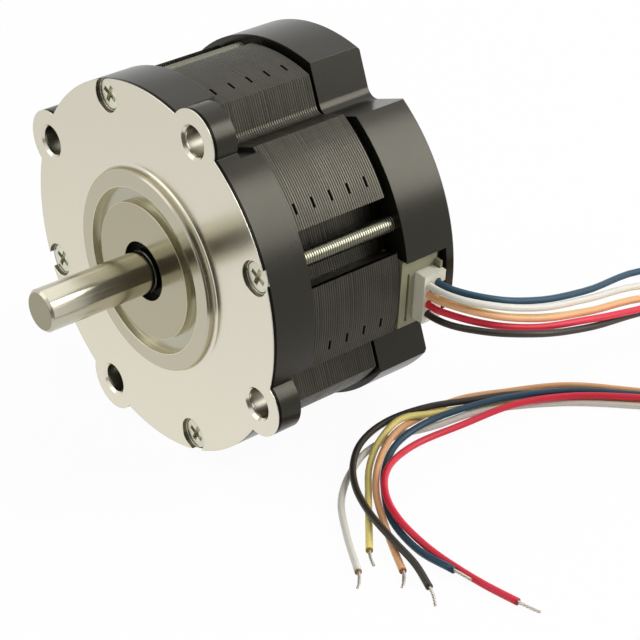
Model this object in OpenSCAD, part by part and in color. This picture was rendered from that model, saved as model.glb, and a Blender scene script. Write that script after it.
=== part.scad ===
// Dual shaft stepper motor with a round flange, four ears and a six-lead plug.
// The motor axis is Y, its mounting face is y = 0 and its front shaft points to -Y.
// It lies as it would on a table: on the rims of both end brackets and on one ear.

/* [Mounting flange] */
// Diameter of the round flange and of both end brackets
body_d = 70.2; // [69.6:0.1:71.2]
// How far inside the flange's edge the middle of a bolt hole lies
hole_inset = 1.76; // [1.5:0.01:2]
// Thickness of the flange and its ears
flange_t = 5; // [4:0.1:6]
// Outer radius of an ear round its bolt hole
ear_r = 6; // [5:0.1:6.6]
// Diameter of a bolt hole
bolt_hole_d = 5.5; // [5:0.1:6.4]
// Chamfer at both ends of a bolt hole
bolt_chamfer = 0.5; // [0.2:0.1:1]
// Diameter of the raised pilot
pilot_d = 38.1; // [37:0.1:39]
// Height of the pilot in front of the mounting face
pilot_h = 1.6; // [1.2:0.1:2.2]
// Diameter of the boss inside the pilot's ring groove
boss_d = 26; // [25:0.1:27]
// Width of the ring groove in the pilot
ring_groove_w = 2.8; // [2:0.1:4]
// Depth of the ring groove
ring_groove_depth = 1.5; // [0.8:0.1:2]

/* [Body] */
// Length of the front bracket along the axis
front_len = 9.1; // [8.9:0.1:12]
// Length of the stator's stack of laminations
stack_len = 20.2; // [18:0.1:40]
// Length of the collar that sets the rear bracket off the stack
collar_len = 1.2; // [0.8:0.1:1.6]
// Length of the rear bracket behind its collar
rear_len = 11.5; // [11.2:0.1:14]
// Width across the flats of a bracket's lobes, as a share of the body's diameter
lobe_share = 0.5527; // [0.545:0.0001:0.56]
// How far the flats of the stack stand out past the bracket's
stack_flat_step = 0.7; // [0.3:0.1:1]
// How far the stack's round lobes lie inside the bracket's
stack_inset = 1.1; // [0.6:0.1:1.4]
// How far the rear bracket's collar lies inside its lobes
collar_inset = 2.4; // [2:0.1:3]
// Fillet in a bracket's notch
notch_fillet = 2.3; // [1.5:0.1:3]
// Thickness of the front bracket's plate behind the mounting face
front_plate_t = 4; // [3.5:0.1:4.4]
// Thickness of the rear bracket's plate
rear_plate_t = 2.2; // [1.8:0.1:2.5]
// Chamfer round the rear bracket's back edge
rear_chamfer = 0.5; // [0.2:0.1:1]

/* [Through screws] */
// How far inside the body's edge the axis of a long screw lies
screw_inset = 2.95; // [2.8:0.05:3.1]
// Outer diameter of a screw's thread
screw_d = 3; // [2.6:0.1:3.2]
// Diameter of a screw's countersunk head
screw_head_d = 5.6; // [5.2:0.1:5.8]
// Height of a head's straight edge, before its cone
screw_head_edge = 0.3; // [0.2:0.05:0.5]
// Depth of the shallow pocket round a head, whose floor the head is level with
screw_sink = 0.75; // [0.5:0.05:1]
// How far that pocket reaches round the head
pocket_gap = 0.45; // [0.3:0.05:0.6]
// Length of thread in the rear bracket
screw_engage = 6.5; // [4:0.5:8]
// Width of the open groove that a screw runs in along the stack
rod_groove_w = 10.4; // [8:0.1:12]
// Depth of that groove below the stack's lobe
rod_groove_depth = 5.4; // [5:0.1:5.6]

/* [Stack marks] */
// Number of interlock marks in a row along the stack
marks_per_row = 5; // [3:1:6]
// Length of a mark across the stack
mark_l = 2; // [1:0.1:3]
// Width of a mark along the stack
mark_w = 0.5; // [0.3:0.05:0.8]
// Depth of a mark
mark_depth = 0.5; // [0.2:0.05:0.8]
// Distance from the stack's front to the middle of a row's first mark
mark_start = 1.72; // [1.5:0.01:3]
// How far the rows of the other plates lie in front of that
mark_stagger = 0.98; // [0:0.01:1]

/* [Shaft and rotor] */
// Diameter of the shaft
shaft_d = 8; // [7.8:0.1:8.4]
// Length of shaft in front of the mounting face
shaft_front = 23.7; // [18:0.1:40]
// Length of shaft behind the rear bracket
shaft_rear = 16; // [10:0.5:30]
// Chamfer at both shaft ends
shaft_chamfer = 0.5; // [0.2:0.1:1]
// Outer diameter of the toothed rotor, as a share of the body's
rotor_share = 0.5128; // [0.5:0.0001:0.518]
// Number of teeth round each rotor core
rotor_teeth = 50; // [50:50:50]
// Depth of a rotor tooth
rotor_tooth_depth = 0.9; // [0.5:0.1:1.2]
// Thickness of the magnet between the two cores
magnet_t = 2.1; // [1.5:0.1:3]
// Diameter of the magnet, as a share of the rotor's
magnet_share = 0.8333; // [0.75:0.0001:0.9]
// Gap between rotor and stator teeth
air_gap = 0.08; // [0.05:0.01:0.12]

/* [Stator] */
// Number of wound poles
poles = 8; // [8:8:8]
// Teeth on the face of each pole
teeth_per_pole = 6; // [5:1:6]
// Depth of a tooth on a pole's face
pole_tooth_depth = 0.8; // [0.5:0.1:1]
// Thickness of a pole's shoe
shoe_t = 1.5; // [1.2:0.1:1.8]
// Width of a pole's neck
pole_w = 5.6; // [5:0.1:6.4]
// Diameter at the bottom of the slots, as a share of the body's
slot_share = 0.7293; // [0.72:0.0001:0.735]
// Thickness of a coil's wound wall
coil_t = 3.2; // [2.4:0.1:3.4]
// Gap between a coil's outer corners and the bottom of its slots
coil_gap = 0.83; // [0.7:0.01:1.6]
// Thickness of the slot insulators' arms
insulator_t = 1; // [0.8:0.1:1.1]

/* [Bearings] */
// Outer diameter of both ball bearings
bearing_od = 22; // [21.6:0.1:22.6]
// Width of a ball bearing
bearing_w = 7; // [6.8:0.1:7.2]
// Diameter of a ball, as a share of the room between bearing bore and outside
ball_share = 0.2836; // [0.265:0.0001:0.293]
// Balls in a bearing
ball_count = 7; // [6:1:8]
// Wall of the bracket round a bearing
seat_wall = 2.4; // [1.8:0.1:3]
// Lip of a bracket outside each bearing
lip_t = 2.6; // [2.4:0.1:2.8]
// Gap between the shaft and the holes that it leaves through
shaft_clear = 1.65; // [1:0.05:2]
// Room for the wave washer behind the rear bearing
washer_room = 0.8; // [0.6:0.05:1]

/* [Connector] */
// Angle of the connector round the axis, from the middle of the lobe that carries it
connector_angle = -24; // [-24:0.1:-23.4]
// Width of the header across its row of contacts
header_w = 14; // [13.8:0.1:14.1]
// Depth of the header along the motor axis
header_d = 8.4; // [8.2:0.1:8.6]
// How far inside the body's edge the header's mouth lies
mouth_inset = 1.6; // [1.3:0.1:2.1]
// Width of the plug across its row of contacts
plug_w = 9.8; // [9.6:0.1:9.9]
// Depth of the plug along the motor axis
plug_d = 4.5; // [4.3:0.1:4.6]
// How far the plug stands out of the header
plug_out = 2.6; // [2:0.1:3]
// How far the plug lies off the header's middle
plug_shift = 1; // [0.8:0.1:1.2]
// Pitch of the contacts
contact_pitch = 2; // [1.9:0.05:2.05]
// Contacts in one row of the plug
contact_columns = 4; // [4:1:4]
// Thickness of a contact pin
pin_w = 0.5; // [0.4:0.05:0.6]
// Thickness of the terminal board
board_t = 1; // [0.8:0.1:1.2]

/* [Leads] */
// Outer diameter of a lead
lead_d = 1.3; // [1.1:0.05:1.4]
// Diameter of the bare conductor at a lead's free end
strand_d = 0.7; // [0.5:0.05:0.9]
// Length of bare conductor at a lead's free end
strip_len = 4.5; // [2:0.5:6]

/* [Hidden] */
$fn = 96;

// One overrun for every cut, and the small gaps of a seated or a running fit
over = 1;
seat_gap = 0.02;
running_gap = 0.3;
side_gap = 0.1;

// Radii that follow from the sizes above
body_r = body_d / 2;
bolt_r = body_r - hole_inset;
screw_r = body_r - screw_inset;
stack_r = body_r - stack_inset;
collar_r = body_r - collar_inset;
shaft_r = shaft_d / 2;
shaft_hole_r = shaft_r + shaft_clear;
rotor_r = body_r * rotor_share;
bore_r = rotor_r + air_gap;
slot_r = body_r * slot_share;
insulator_wall = 0.9;
cavity_r = slot_r + insulator_wall - running_gap;
seat_r = bearing_od / 2 + seat_gap;
hub_r = seat_r + seat_wall;

// Stations along the axis
stack_y = front_len;
collar_y = stack_y + stack_len;
rear_y = collar_y + collar_len;
rear_end = rear_y + rear_len;
front_bearing_y = lip_t - pilot_h;
front_bearing_end = front_bearing_y + bearing_w;
rear_shoulder_y = rear_end - lip_t;
rear_bearing_end = rear_shoulder_y - washer_room;
rear_bearing_y = rear_bearing_end - bearing_w;
rear_inner_y = rear_end - rear_plate_t;
board_gap = 0.2;
board_end = rear_inner_y - board_gap;
board_y = board_end - board_t;
header_y = board_y - header_d;

// The motor lies on its round rims and on the ear at its lower left
quarter = 90;
ear_angle = 45;
rest_roll = ear_angle - acos((body_r - ear_r) / bolt_r);

// Turns a piece from the motor's own upright frame to the way it lies
module rolled() {
    rotate([0, -rest_roll, 0]) children();
}

// Turns a piece by an angle round the axis, counter-clockwise seen from the front
module turned(angle) {
    rotate([0, -angle, 0]) children();
}

// A flat outline, X right and Z up, made into a slab that starts at y0
module slab(y0, length) {
    translate([0, y0 + length, 0])
        rotate([quarter, 0, 0])
            linear_extrude(height = length)
                children();
}

// A profile of radius and station, revolved round the axis
module revolved() {
    rotate([-quarter, 0, 0])
        rotate_extrude()
            children();
}

// A round bar or hole along the axis
module bar(r, y0, y1, at = [0, 0]) {
    translate([at[0], y0, at[1]])
        rotate([-quarter, 0, 0])
            cylinder(r = r, h = y1 - y0);
}

module rounded_rect(w, h, r) {
    square([w - r * 2, h], center = true);
    square([w, h - r * 2], center = true);
    for (sx = [-1, 1])
        for (sy = [-1, 1])
            translate([sx * (w / 2 - r), sy * (h / 2 - r)])
                circle(r = r);
}

function polar(r, angle) = [r * cos(angle), r * sin(angle)];

// Lobed outline shared by the stack and the brackets
module corner_notch(flat, fillet, reach) {
    translate([flat + fillet, flat]) square(reach);
    translate([flat, flat + fillet]) square(reach);
    translate([flat + fillet, flat + fillet]) circle(r = fillet);
}

module lobed(r, flat, fillet) {
    difference() {
        circle(r = r);
        for (i = [0:3])
            rotate(i * quarter) corner_notch(flat, fillet, r);
    }
}

// The four ears, with a child at each bolt axis
module at_ears() {
    for (i = [0:3])
        rotate(ear_angle + i * quarter)
            translate([bolt_r, 0])
                children();
}

// Centres of the four through screws in the flat outline
module at_screws() {
    for (i = [0:3])
        rotate(i * quarter)
            translate([screw_r, 0])
                children();
}

// Front bracket: flange with ears, pilot, bearing seat and lobes behind the flange
bracket_flat = body_r * lobe_share;
screw_head_r = screw_head_d / 2;
pocket_r = screw_head_r + pocket_gap;
screw_head_h = screw_head_edge + screw_head_r - screw_d / 2;
screw_hole_r = screw_d / 2 + side_gap;
pilot_r = pilot_d / 2;
boss_r = boss_d / 2;
pilot_edge = 0.3;

module bolt_hole_cut() {
    hole_r = bolt_hole_d / 2;
    revolved()
        polygon([
            [0, -over],
            [hole_r + bolt_chamfer + over, -over],
            [hole_r, bolt_chamfer],
            [hole_r, flange_t - bolt_chamfer],
            [hole_r + bolt_chamfer + over, flange_t + over],
            [0, flange_t + over]
        ]);
}

// Shallow pocket with a countersink in its floor, and the screw's hole
module screw_cut() {
    sink_r = screw_head_r + side_gap;
    edge_y = screw_sink + screw_head_edge;
    revolved()
        polygon([
            [0, -over],
            [pocket_r, -over],
            [pocket_r, screw_sink],
            [sink_r, screw_sink],
            [sink_r, edge_y],
            [screw_hole_r, edge_y + sink_r - screw_hole_r],
            [screw_hole_r, front_len + over],
            [0, front_len + over]
        ]);
}

module pilot_blank() {
    groove_r = boss_r + ring_groove_w;
    groove_y = ring_groove_depth - pilot_h;
    revolved()
        difference() {
            polygon([
                [shaft_hole_r, -pilot_h],
                [pilot_r - pilot_edge, -pilot_h],
                [pilot_r, pilot_edge - pilot_h],
                [pilot_r, front_plate_t],
                [hub_r, front_plate_t],
                [hub_r, front_bearing_end],
                [seat_r, front_bearing_end],
                [seat_r, front_bearing_y],
                [shaft_hole_r, front_bearing_y]
            ]);
            translate([boss_r, -pilot_h - over])
                square([groove_r - boss_r, groove_y + pilot_h + over]);
        }
}

module front_bracket() {
    color([0.30, 0.30, 0.28])
        rolled() {
            difference() {
                union() {
                    slab(0, flange_t) {
                        circle(r = body_r);
                        at_ears() circle(r = ear_r);
                    }
                    slab(0, front_len) lobed(body_r, bracket_flat, notch_fillet);
                }
                bar(pilot_r, -over, front_plate_t + over);
                bar(cavity_r, front_plate_t, front_len + over);
                for (i = [0:3]) {
                    turned(i * quarter)
                        translate([screw_r, 0, 0])
                            screw_cut();
                    turned(ear_angle + i * quarter)
                        translate([bolt_r, 0, 0])
                            bolt_hole_cut();
                }
            }
            pilot_blank();
        }
}

// Rear bracket: collar, lobes, bearing seat and the connector's window
tap_r = screw_d / 2 + seat_gap;
screw_end = rear_y + screw_engage;
tap_end = screw_end + running_gap;
window_w = header_w + side_gap * 2;
window_r = sqrt(pow(cavity_r, 2) - pow(window_w / 2, 2)) - side_gap;

module rear_bracket() {
    color([0.33, 0.32, 0.30])
        rolled()
            difference() {
                union() {
                    intersection() {
                        slab(rear_y, rear_len) lobed(body_r, bracket_flat, notch_fillet);
                        revolved()
                            polygon([
                                [0, rear_y],
                                [body_r, rear_y],
                                [body_r, rear_end - rear_chamfer],
                                [body_r - rear_chamfer, rear_end],
                                [0, rear_end]
                            ]);
                    }
                    slab(collar_y, collar_len + over)
                        difference() {
                            lobed(collar_r, bracket_flat - stack_inset, notch_fillet);
                            rod_grooves();
                        }
                }
                difference() {
                    bar(cavity_r, collar_y - over, rear_inner_y);
                    bar(hub_r, rear_bearing_y, rear_inner_y + over);
                }
                bar(seat_r, rear_bearing_y - over, rear_shoulder_y);
                bar(shaft_hole_r, rear_shoulder_y - over, rear_end + over);
                slab(collar_y - over, tap_end - collar_y + over) at_screws() circle(r = tap_r);
                turned(connector_angle)
                    translate([window_r, collar_y - over, -window_w / 2])
                        cube([body_r, rear_inner_y - collar_y + over, window_w]);
            }
}

// Stator core: lobed laminations with eight toothed poles
stack_flat = bracket_flat + stack_flat_step;
stack_fillet = notch_fillet - stack_flat_step;
pole_step = 360 / poles;
tooth_step = 360 / rotor_teeth;
tooth_share = 0.44;
tooth_half = tooth_step * tooth_share / 2;
tooth_flank = tooth_step * 0.06;
shoe_half = tooth_step * (teeth_per_pole - 1) / 2 + tooth_half;
shoe_r = bore_r + shoe_t;
neck_r = shoe_r + shoe_t * 0.4;
slot_arc_shares = [0, 0.25, 0.5, 0.75, 1];
groove_floor = stack_r - rod_groove_depth;
mark_rows = 8;
mark_row_angle = 15;
mark_pitch_share = 0.195;
mark_pitch = stack_len * mark_pitch_share;

// Station of a row's first mark: the plates carry two patterns, each in two opposite pairs of rows
function row_start(row) = stack_y + mark_start - (row % 4 < 2 ? 0 : mark_stagger);

module rod_grooves() {
    for (i = [0:3])
        rotate(i * quarter)
            translate([groove_floor, -rod_groove_w / 2])
                square([body_r, rod_groove_w]);
}

// Toothed face of one pole, from its lower to its upper shoe tip
function pole_face(middle) = [
    for (j = [0:teeth_per_pole - 1])
        let (c = middle + tooth_step * (j - (teeth_per_pole - 1) / 2))
            for (p = j < teeth_per_pole - 1
                ? [
                    polar(bore_r, c - tooth_half),
                    polar(bore_r, c + tooth_half),
                    polar(bore_r + pole_tooth_depth, c + tooth_half + tooth_flank),
                    polar(bore_r + pole_tooth_depth, c + tooth_step - tooth_half - tooth_flank)
                ]
                : [polar(bore_r, c - tooth_half), polar(bore_r, c + tooth_half)])
                p
];

// The slot between one pole and the next
function slot_wall(middle) =
    let (
        neck_a = asin(pole_w / 2 / neck_r),
        root_a = asin(pole_w / 2 / slot_r)
    )
    concat(
        [polar(shoe_r, middle + shoe_half), polar(neck_r, middle + neck_a)],
        [for (s = slot_arc_shares) polar(slot_r, middle + root_a + s * (pole_step - root_a * 2))],
        [polar(neck_r, middle + pole_step - neck_a), polar(shoe_r, middle + pole_step - shoe_half)]
    );

module stator_void() {
    polygon([
        for (k = [0:poles - 1])
            for (p = concat(pole_face(k * pole_step), slot_wall(k * pole_step)))
                p
    ]);
}

module stator_core() {
    color([0.27, 0.27, 0.25])
        rolled()
            difference() {
                slab(stack_y, stack_len)
                    difference() {
                        lobed(stack_r, stack_flat, stack_fillet);
                        rod_grooves();
                        stator_void();
                    }
                for (row = [0:mark_rows - 1])
                    turned(mark_row_angle + row * 360 / mark_rows)
                        for (i = [0:marks_per_row - 1])
                            translate([stack_r - mark_depth, row_start(row) + i * mark_pitch, 0])
                                translate([0, -mark_w / 2, -mark_l / 2])
                                    cube([mark_depth + over, mark_w, mark_l]);
            }
}

// Slot insulators: an outer wall, an arm over each pole and an inner lip
coil_in = neck_r + running_gap;
coil_side = pole_w / 2 + side_gap * 2 + coil_t;
coil_h = sqrt(pow(slot_r - coil_gap, 2) - pow(coil_side, 2)) - coil_in;
lip_h = insulator_t + coil_t;
arm_w = pole_w - side_gap * 2;
lip_w = pole_w + coil_t;
lip_in = bore_r + pole_tooth_depth + side_gap;

module insulator(face_y, away) {
    plate_y = away > 0 ? face_y : face_y - insulator_t;
    wall_y = away > 0 ? face_y : face_y - lip_h;
    slab(wall_y, lip_h)
        difference() {
            circle(r = cavity_r - running_gap);
            circle(r = cavity_r - running_gap - insulator_wall + seat_gap);
        }
    for (k = [0:poles - 1])
        turned(k * pole_step) {
            translate([lip_in, plate_y, -arm_w / 2])
                cube([cavity_r - running_gap - insulator_wall / 2 - lip_in, insulator_t, arm_w]);
            translate([lip_in, wall_y, -lip_w / 2])
                cube([coil_in - side_gap - lip_in, lip_h, lip_w]);
        }
}

module front_insulator() {
    color([0.92, 0.90, 0.84])
        rolled()
            insulator(stack_y, -1);
}

module rear_insulator() {
    color([0.92, 0.90, 0.84])
        rolled()
            insulator(collar_y, 1);
}

// Coils: one round each pole, on the insulators' arms
module coil(k) {
    gap_w = pole_w + side_gap * 4;
    gap_l = stack_len + insulator_t * 2 + seat_gap * 2;
    turned(k * pole_step)
        translate([coil_in, stack_y + stack_len / 2, 0])
            rotate([0, quarter, 0])
                linear_extrude(height = coil_h)
                    difference() {
                        rounded_rect(gap_w + coil_t * 2, gap_l + coil_t * 2, coil_t * 0.8);
                        rounded_rect(gap_w, gap_l, side_gap);
                    }
}

module phase_a_coils() {
    color([0.72, 0.42, 0.20])
        rolled()
            for (k = [0:2:poles - 1])
                coil(k);
}

module phase_b_coils() {
    color([0.66, 0.36, 0.18])
        rolled()
            for (k = [1:2:poles - 1])
                coil(k);
}

// Through screws: countersunk heads with a cross recess and long threaded rods
cross_w_share = 0.17;
cross_l_share = 0.62;
cross_depth_share = 0.5;
head_chamfer = 0.1;

module through_screw() {
    difference() {
        revolved()
            polygon([
                [0, screw_sink],
                [screw_head_r - head_chamfer, screw_sink],
                [screw_head_r, screw_sink + head_chamfer],
                [screw_head_r, screw_sink + screw_head_edge],
                [screw_d / 2, screw_sink + screw_head_h],
                [screw_d / 2, screw_end - screw_d / 4],
                [screw_d / 4, screw_end],
                [0, screw_end]
            ]);
        for (a = [0, quarter])
            turned(ear_angle + a)
                translate([-screw_head_d * cross_l_share / 2, 0, -screw_head_d * cross_w_share / 2])
                    cube([
                        screw_head_d * cross_l_share,
                        screw_sink + screw_head_h * cross_depth_share,
                        screw_head_d * cross_w_share
                    ]);
    }
}

module through_screws() {
    color([0.80, 0.80, 0.76])
        rolled()
            for (i = [0:3])
                turned(i * quarter)
                    translate([screw_r, 0, 0])
                        through_screw();
}

// Terminal board behind the coils, with a tab under the connector
header_wall = 0.5;
header_reach = body_r - mouth_inset;
header_in = cavity_r - side_gap;
header_l = header_reach - header_in;
cavity_floor = header_in + header_wall * 3;
cavity_w = plug_w + side_gap * 2;
cavity_d = plug_d + side_gap * 2;
cavity_y = board_y - header_wall - cavity_d;
plug_y = cavity_y + side_gap;
row_1_y = plug_y + (plug_d - contact_pitch) / 2;
row_2_y = row_1_y + contact_pitch;
pin_row_1_r = header_in - contact_pitch * 0.95;
pin_row_2_r = header_in - contact_pitch * 0.25;
column_mid = -plug_shift;
function column_t(i) = column_mid + (i - (contact_columns - 1) / 2) * contact_pitch;
board_r = cavity_r - running_gap;
board_tab_reach = header_reach - side_gap * 4;

module at_pin_tails(size) {
    for (i = [0:contact_columns - 1])
        for (r = [pin_row_1_r, pin_row_2_r])
            translate([r - size / 2, 0, column_t(i) - size / 2])
                children();
}

module terminal_board() {
    hole = pin_w + side_gap;
    color([0.16, 0.36, 0.22])
        rolled()
            difference() {
                union() {
                    bar(board_r, board_y, board_end);
                    turned(connector_angle)
                        translate([hub_r, board_y, -header_w / 2])
                            cube([board_tab_reach - hub_r, board_t, header_w]);
                }
                bar(hub_r + running_gap * 2, board_y - over, board_end + over);
                turned(connector_angle)
                    at_pin_tails(hole)
                        translate([0, board_y - over, 0])
                            cube([hole, board_t + over * 2, hole]);
            }
}

// Connector header on the board, mouth outwards
rim_slot_w = 0.5;
tab_w = 3.2;
tab_h = 1.5;

module connector_header() {
    color([0.80, 0.77, 0.66])
        rolled()
            turned(connector_angle)
                difference() {
                    union() {
                        translate([header_in, header_y, -header_w / 2])
                            cube([header_l, header_d, header_w]);
                        translate([header_reach - over, board_y - header_wall, plug_shift * 2])
                            cube([tab_h + over, header_wall, tab_w]);
                    }
                    translate([cavity_floor, cavity_y, column_mid - cavity_w / 2])
                        cube([header_l, cavity_d, cavity_w]);
                    translate([header_reach - rim_slot_w, header_y + rim_slot_w * 3, 0])
                        translate([0, 0, column_mid - cavity_w / 2])
                            cube([header_l, rim_slot_w, cavity_w]);
                    for (i = [0:contact_columns - 1])
                        for (y = [row_1_y, row_2_y])
                            translate([
                                header_in - over,
                                y - pin_w / 2 - seat_gap,
                                column_t(i) - pin_w / 2 - seat_gap
                            ])
                                cube([header_l, pin_w + seat_gap * 2, pin_w + seat_gap * 2]);
                }
}

// Header pins: bent from the board into the header's mouth
module header_pins() {
    pin_end = cavity_floor + header_l * 0.45;
    color([0.82, 0.78, 0.60])
        rolled()
            turned(connector_angle)
                for (i = [0:contact_columns - 1])
                    for (row = [[row_1_y, pin_row_1_r], [row_2_y, pin_row_2_r]])
                        translate([row[1] - pin_w / 2, 0, column_t(i) - pin_w / 2]) {
                            translate([0, row[0] - pin_w / 2, 0])
                                cube([pin_end - row[1], pin_w, pin_w]);
                            translate([0, row[0] - pin_w / 2, 0])
                                cube([pin_w, board_end - row[0] + pin_w / 2, pin_w]);
                        }
}

// Plug housing in the header, with a hole for each lead
plug_in = cavity_floor + side_gap;
plug_reach = header_reach + plug_out;
lead_hole_r = lead_d / 2 + side_gap;
lead_start_r = plug_reach - lead_d * 1.6;
lug_w = 2.2;
lug_h = 0.9;
plug_round = 0.3;

module plug_housing() {
    color([0.93, 0.93, 0.90])
        rolled()
            turned(connector_angle)
                difference() {
                    union() {
                        translate([plug_in, plug_y + plug_d / 2, column_mid])
                            rotate([0, quarter, 0])
                                linear_extrude(height = plug_reach - plug_in)
                                    rounded_rect(plug_w, plug_d, plug_round);
                        translate([header_reach + tab_h + side_gap, plug_y + plug_d - lug_h, plug_shift * 1.7])
                            cube([plug_out - tab_h - side_gap, lug_h * 1.6, lug_w]);
                    }
                    for (i = [0:contact_columns - 1])
                        for (y = [row_1_y, row_2_y])
                            translate([0, y, column_t(i)]) {
                                translate([plug_in - over, -socket_w / 2, -socket_w / 2])
                                    cube([contact_l + over + side_gap, socket_w, socket_w]);
                                translate([plug_in, 0, 0])
                                    rotate([0, quarter, 0])
                                        cylinder(r = lead_hole_r, h = plug_reach - plug_in + over);
                            }
                }
}

// Plug contacts: sockets round the six pins that are used
contact_w = 1.2;
contact_l = lead_start_r - plug_in - side_gap;
socket_w = contact_w + side_gap * 2;
used_ways = [[0, 0], [1, 0], [2, 0], [3, 0], [2, 1], [3, 1]];

module plug_contacts() {
    bore = pin_w + side_gap * 2;
    color([0.78, 0.76, 0.66])
        rolled()
            turned(connector_angle)
                for (way = used_ways)
                    translate([plug_in, way[1] == 0 ? row_1_y : row_2_y, column_t(way[0])])
                        difference() {
                            translate([0, -contact_w / 2, -contact_w / 2])
                                cube([contact_l, contact_w, contact_w]);
                            translate([-over, -bore / 2, -bore / 2])
                                cube([contact_l * 0.8 + over, bore, bore]);
                        }
}

// Shaft: plain round, with a fine relief where each extension starts
relief_w = 0.6;
relief_depth = 0.2;

module shaft() {
    tip = -shaft_front;
    tail = rear_end + shaft_rear;
    relief_r = shaft_r - relief_depth;
    color([0.78, 0.78, 0.75])
        revolved()
            polygon([
                [0, tip],
                [shaft_r - shaft_chamfer, tip],
                [shaft_r, tip + shaft_chamfer],
                [shaft_r, -pilot_h - relief_w],
                [relief_r, -pilot_h - relief_w],
                [relief_r, -pilot_h],
                [shaft_r, -pilot_h],
                [shaft_r, rear_end],
                [relief_r, rear_end],
                [relief_r, rear_end + relief_w],
                [shaft_r, rear_end + relief_w],
                [shaft_r, tail - shaft_chamfer],
                [shaft_r - shaft_chamfer, tail],
                [0, tail]
            ]);
}

// Rotor: two toothed cores half a tooth apart with a magnet between them
core_len = (stack_len - magnet_t) / 2;
rear_core_y = stack_y + core_len + magnet_t;
core_bore_r = shaft_r + seat_gap;

module toothed_disc(shift) {
    root_r = rotor_r - rotor_tooth_depth;
    difference() {
        polygon([
            for (i = [0:rotor_teeth - 1])
                let (c = shift + i * tooth_step)
                    for (p = [
                        polar(rotor_r, c - tooth_half),
                        polar(rotor_r, c + tooth_half),
                        polar(root_r, c + tooth_half + tooth_flank),
                        polar(root_r, c + tooth_step - tooth_half - tooth_flank)
                    ])
                        p
        ]);
        circle(r = core_bore_r);
    }
}

module rotor_core_front() {
    color([0.55, 0.55, 0.53])
        slab(stack_y, core_len)
            toothed_disc(0);
}

module rotor_core_rear() {
    color([0.52, 0.52, 0.50])
        slab(rear_core_y, core_len)
            toothed_disc(tooth_step / 2);
}

module ring(r_in, r_out, y0, y1) {
    revolved()
        translate([r_in, y0])
            square([r_out - r_in, y1 - y0]);
}

module rotor_magnet() {
    color([0.25, 0.25, 0.27])
        ring(core_bore_r, rotor_r * magnet_share, stack_y + core_len, rear_core_y);
}

module front_spacer() {
    color([0.70, 0.68, 0.60])
        ring(core_bore_r, inner_shoulder_r - side_gap, front_bearing_end, stack_y);
}

module rear_spacer() {
    color([0.70, 0.68, 0.60])
        ring(core_bore_r, inner_shoulder_r - side_gap, collar_y, rear_bearing_y);
}

// Ball bearings: rings with ball grooves, shields, balls and a cage
pitch_r = (shaft_r + bearing_od / 2) / 2;
ball_r = (bearing_od / 2 - shaft_r) * ball_share;
ball_gap = 0.05;
shoulder_share = 0.73;
inner_shoulder_r = pitch_r - ball_r * shoulder_share;
outer_shoulder_r = pitch_r + ball_r * shoulder_share;
shield_t = 0.3;
rebate_depth = 0.4;
rebate_r = outer_shoulder_r + shield_t;
cage_half = ball_r * 0.28;
cage_h = bearing_w - (rebate_depth + running_gap) * 2;

module ball_groove(y0) {
    translate([pitch_r, y0 + bearing_w / 2])
        circle(r = ball_r + ball_gap);
}

module bearing_outer_ring(y0) {
    color([0.74, 0.74, 0.72])
        revolved()
            difference() {
                translate([outer_shoulder_r, y0])
                    square([bearing_od / 2 - outer_shoulder_r, bearing_w]);
                ball_groove(y0);
                for (y = [y0 - over, y0 + bearing_w - rebate_depth])
                    translate([0, y])
                        square([rebate_r, rebate_depth + over]);
            }
}

module bearing_inner_ring(y0) {
    color([0.76, 0.76, 0.74])
        revolved()
            difference() {
                translate([core_bore_r, y0])
                    square([inner_shoulder_r - core_bore_r, bearing_w]);
                ball_groove(y0);
            }
}

module bearing_shields(y0) {
    color([0.62, 0.62, 0.60]) {
        ring(
            inner_shoulder_r + running_gap, rebate_r - seat_gap,
            y0 + rebate_depth - shield_t, y0 + rebate_depth
        );
        ring(
            inner_shoulder_r + running_gap, rebate_r - seat_gap,
            y0 + bearing_w - rebate_depth, y0 + bearing_w - rebate_depth + shield_t
        );
    }
}

module at_balls(y0) {
    for (i = [0:ball_count - 1])
        turned(i * 360 / ball_count)
            translate([pitch_r, y0 + bearing_w / 2, 0])
                children();
}

module bearing_balls(y0) {
    color([0.85, 0.85, 0.84])
        at_balls(y0)
            sphere(r = ball_r);
}

module bearing_cage(y0) {
    color([0.72, 0.60, 0.36])
        difference() {
            ring(
                pitch_r - cage_half, pitch_r + cage_half,
                y0 + (bearing_w - cage_h) / 2, y0 + (bearing_w + cage_h) / 2
            );
            at_balls(y0)
                rotate([0, quarter, 0])
                    cylinder(r = ball_r + ball_gap, h = cage_half * 4, center = true);
        }
}

// Wave washer: three waves that push the rear bearing forwards
wave_count = 3;
wave_steps = 36;
wave_corners = 4;
washer_t = 0.3;
washer_out = bearing_od / 2 - running_gap;
washer_in = outer_shoulder_r;

module wave_washer() {
    middle = rear_bearing_end + washer_room / 2;
    swing = (washer_room - washer_t) / 2 - seat_gap;
    points = [
        for (i = [0:wave_steps - 1])
            let (
                a = i * 360 / wave_steps,
                y = middle + swing * cos(wave_count * a)
            )
                for (c = [[washer_in, -1], [washer_out, -1], [washer_out, 1], [washer_in, 1]])
                    [c[0] * cos(a), y + c[1] * washer_t / 2, c[0] * sin(a)]
    ];
    faces = [
        for (i = [0:wave_steps - 1])
            for (j = [0:wave_corners - 1])
                let (
                    near = i * wave_corners,
                    far = (i + 1) % wave_steps * wave_corners,
                    next = (j + 1) % wave_corners
                )
                    for (t = [[near + j, far + next, near + next], [near + j, far + j, far + next]])
                        t
    ];
    color([0.70, 0.70, 0.68])
        polyhedron(points = points, faces = faces);
}

// Leads: each leaves its way of the plug straight and lies along its own route to a bare end
lead_sides = 8;
lead_steps = 3;
straight_out = lead_d * 1.85;
connector_turn = connector_angle + rest_roll;

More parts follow.
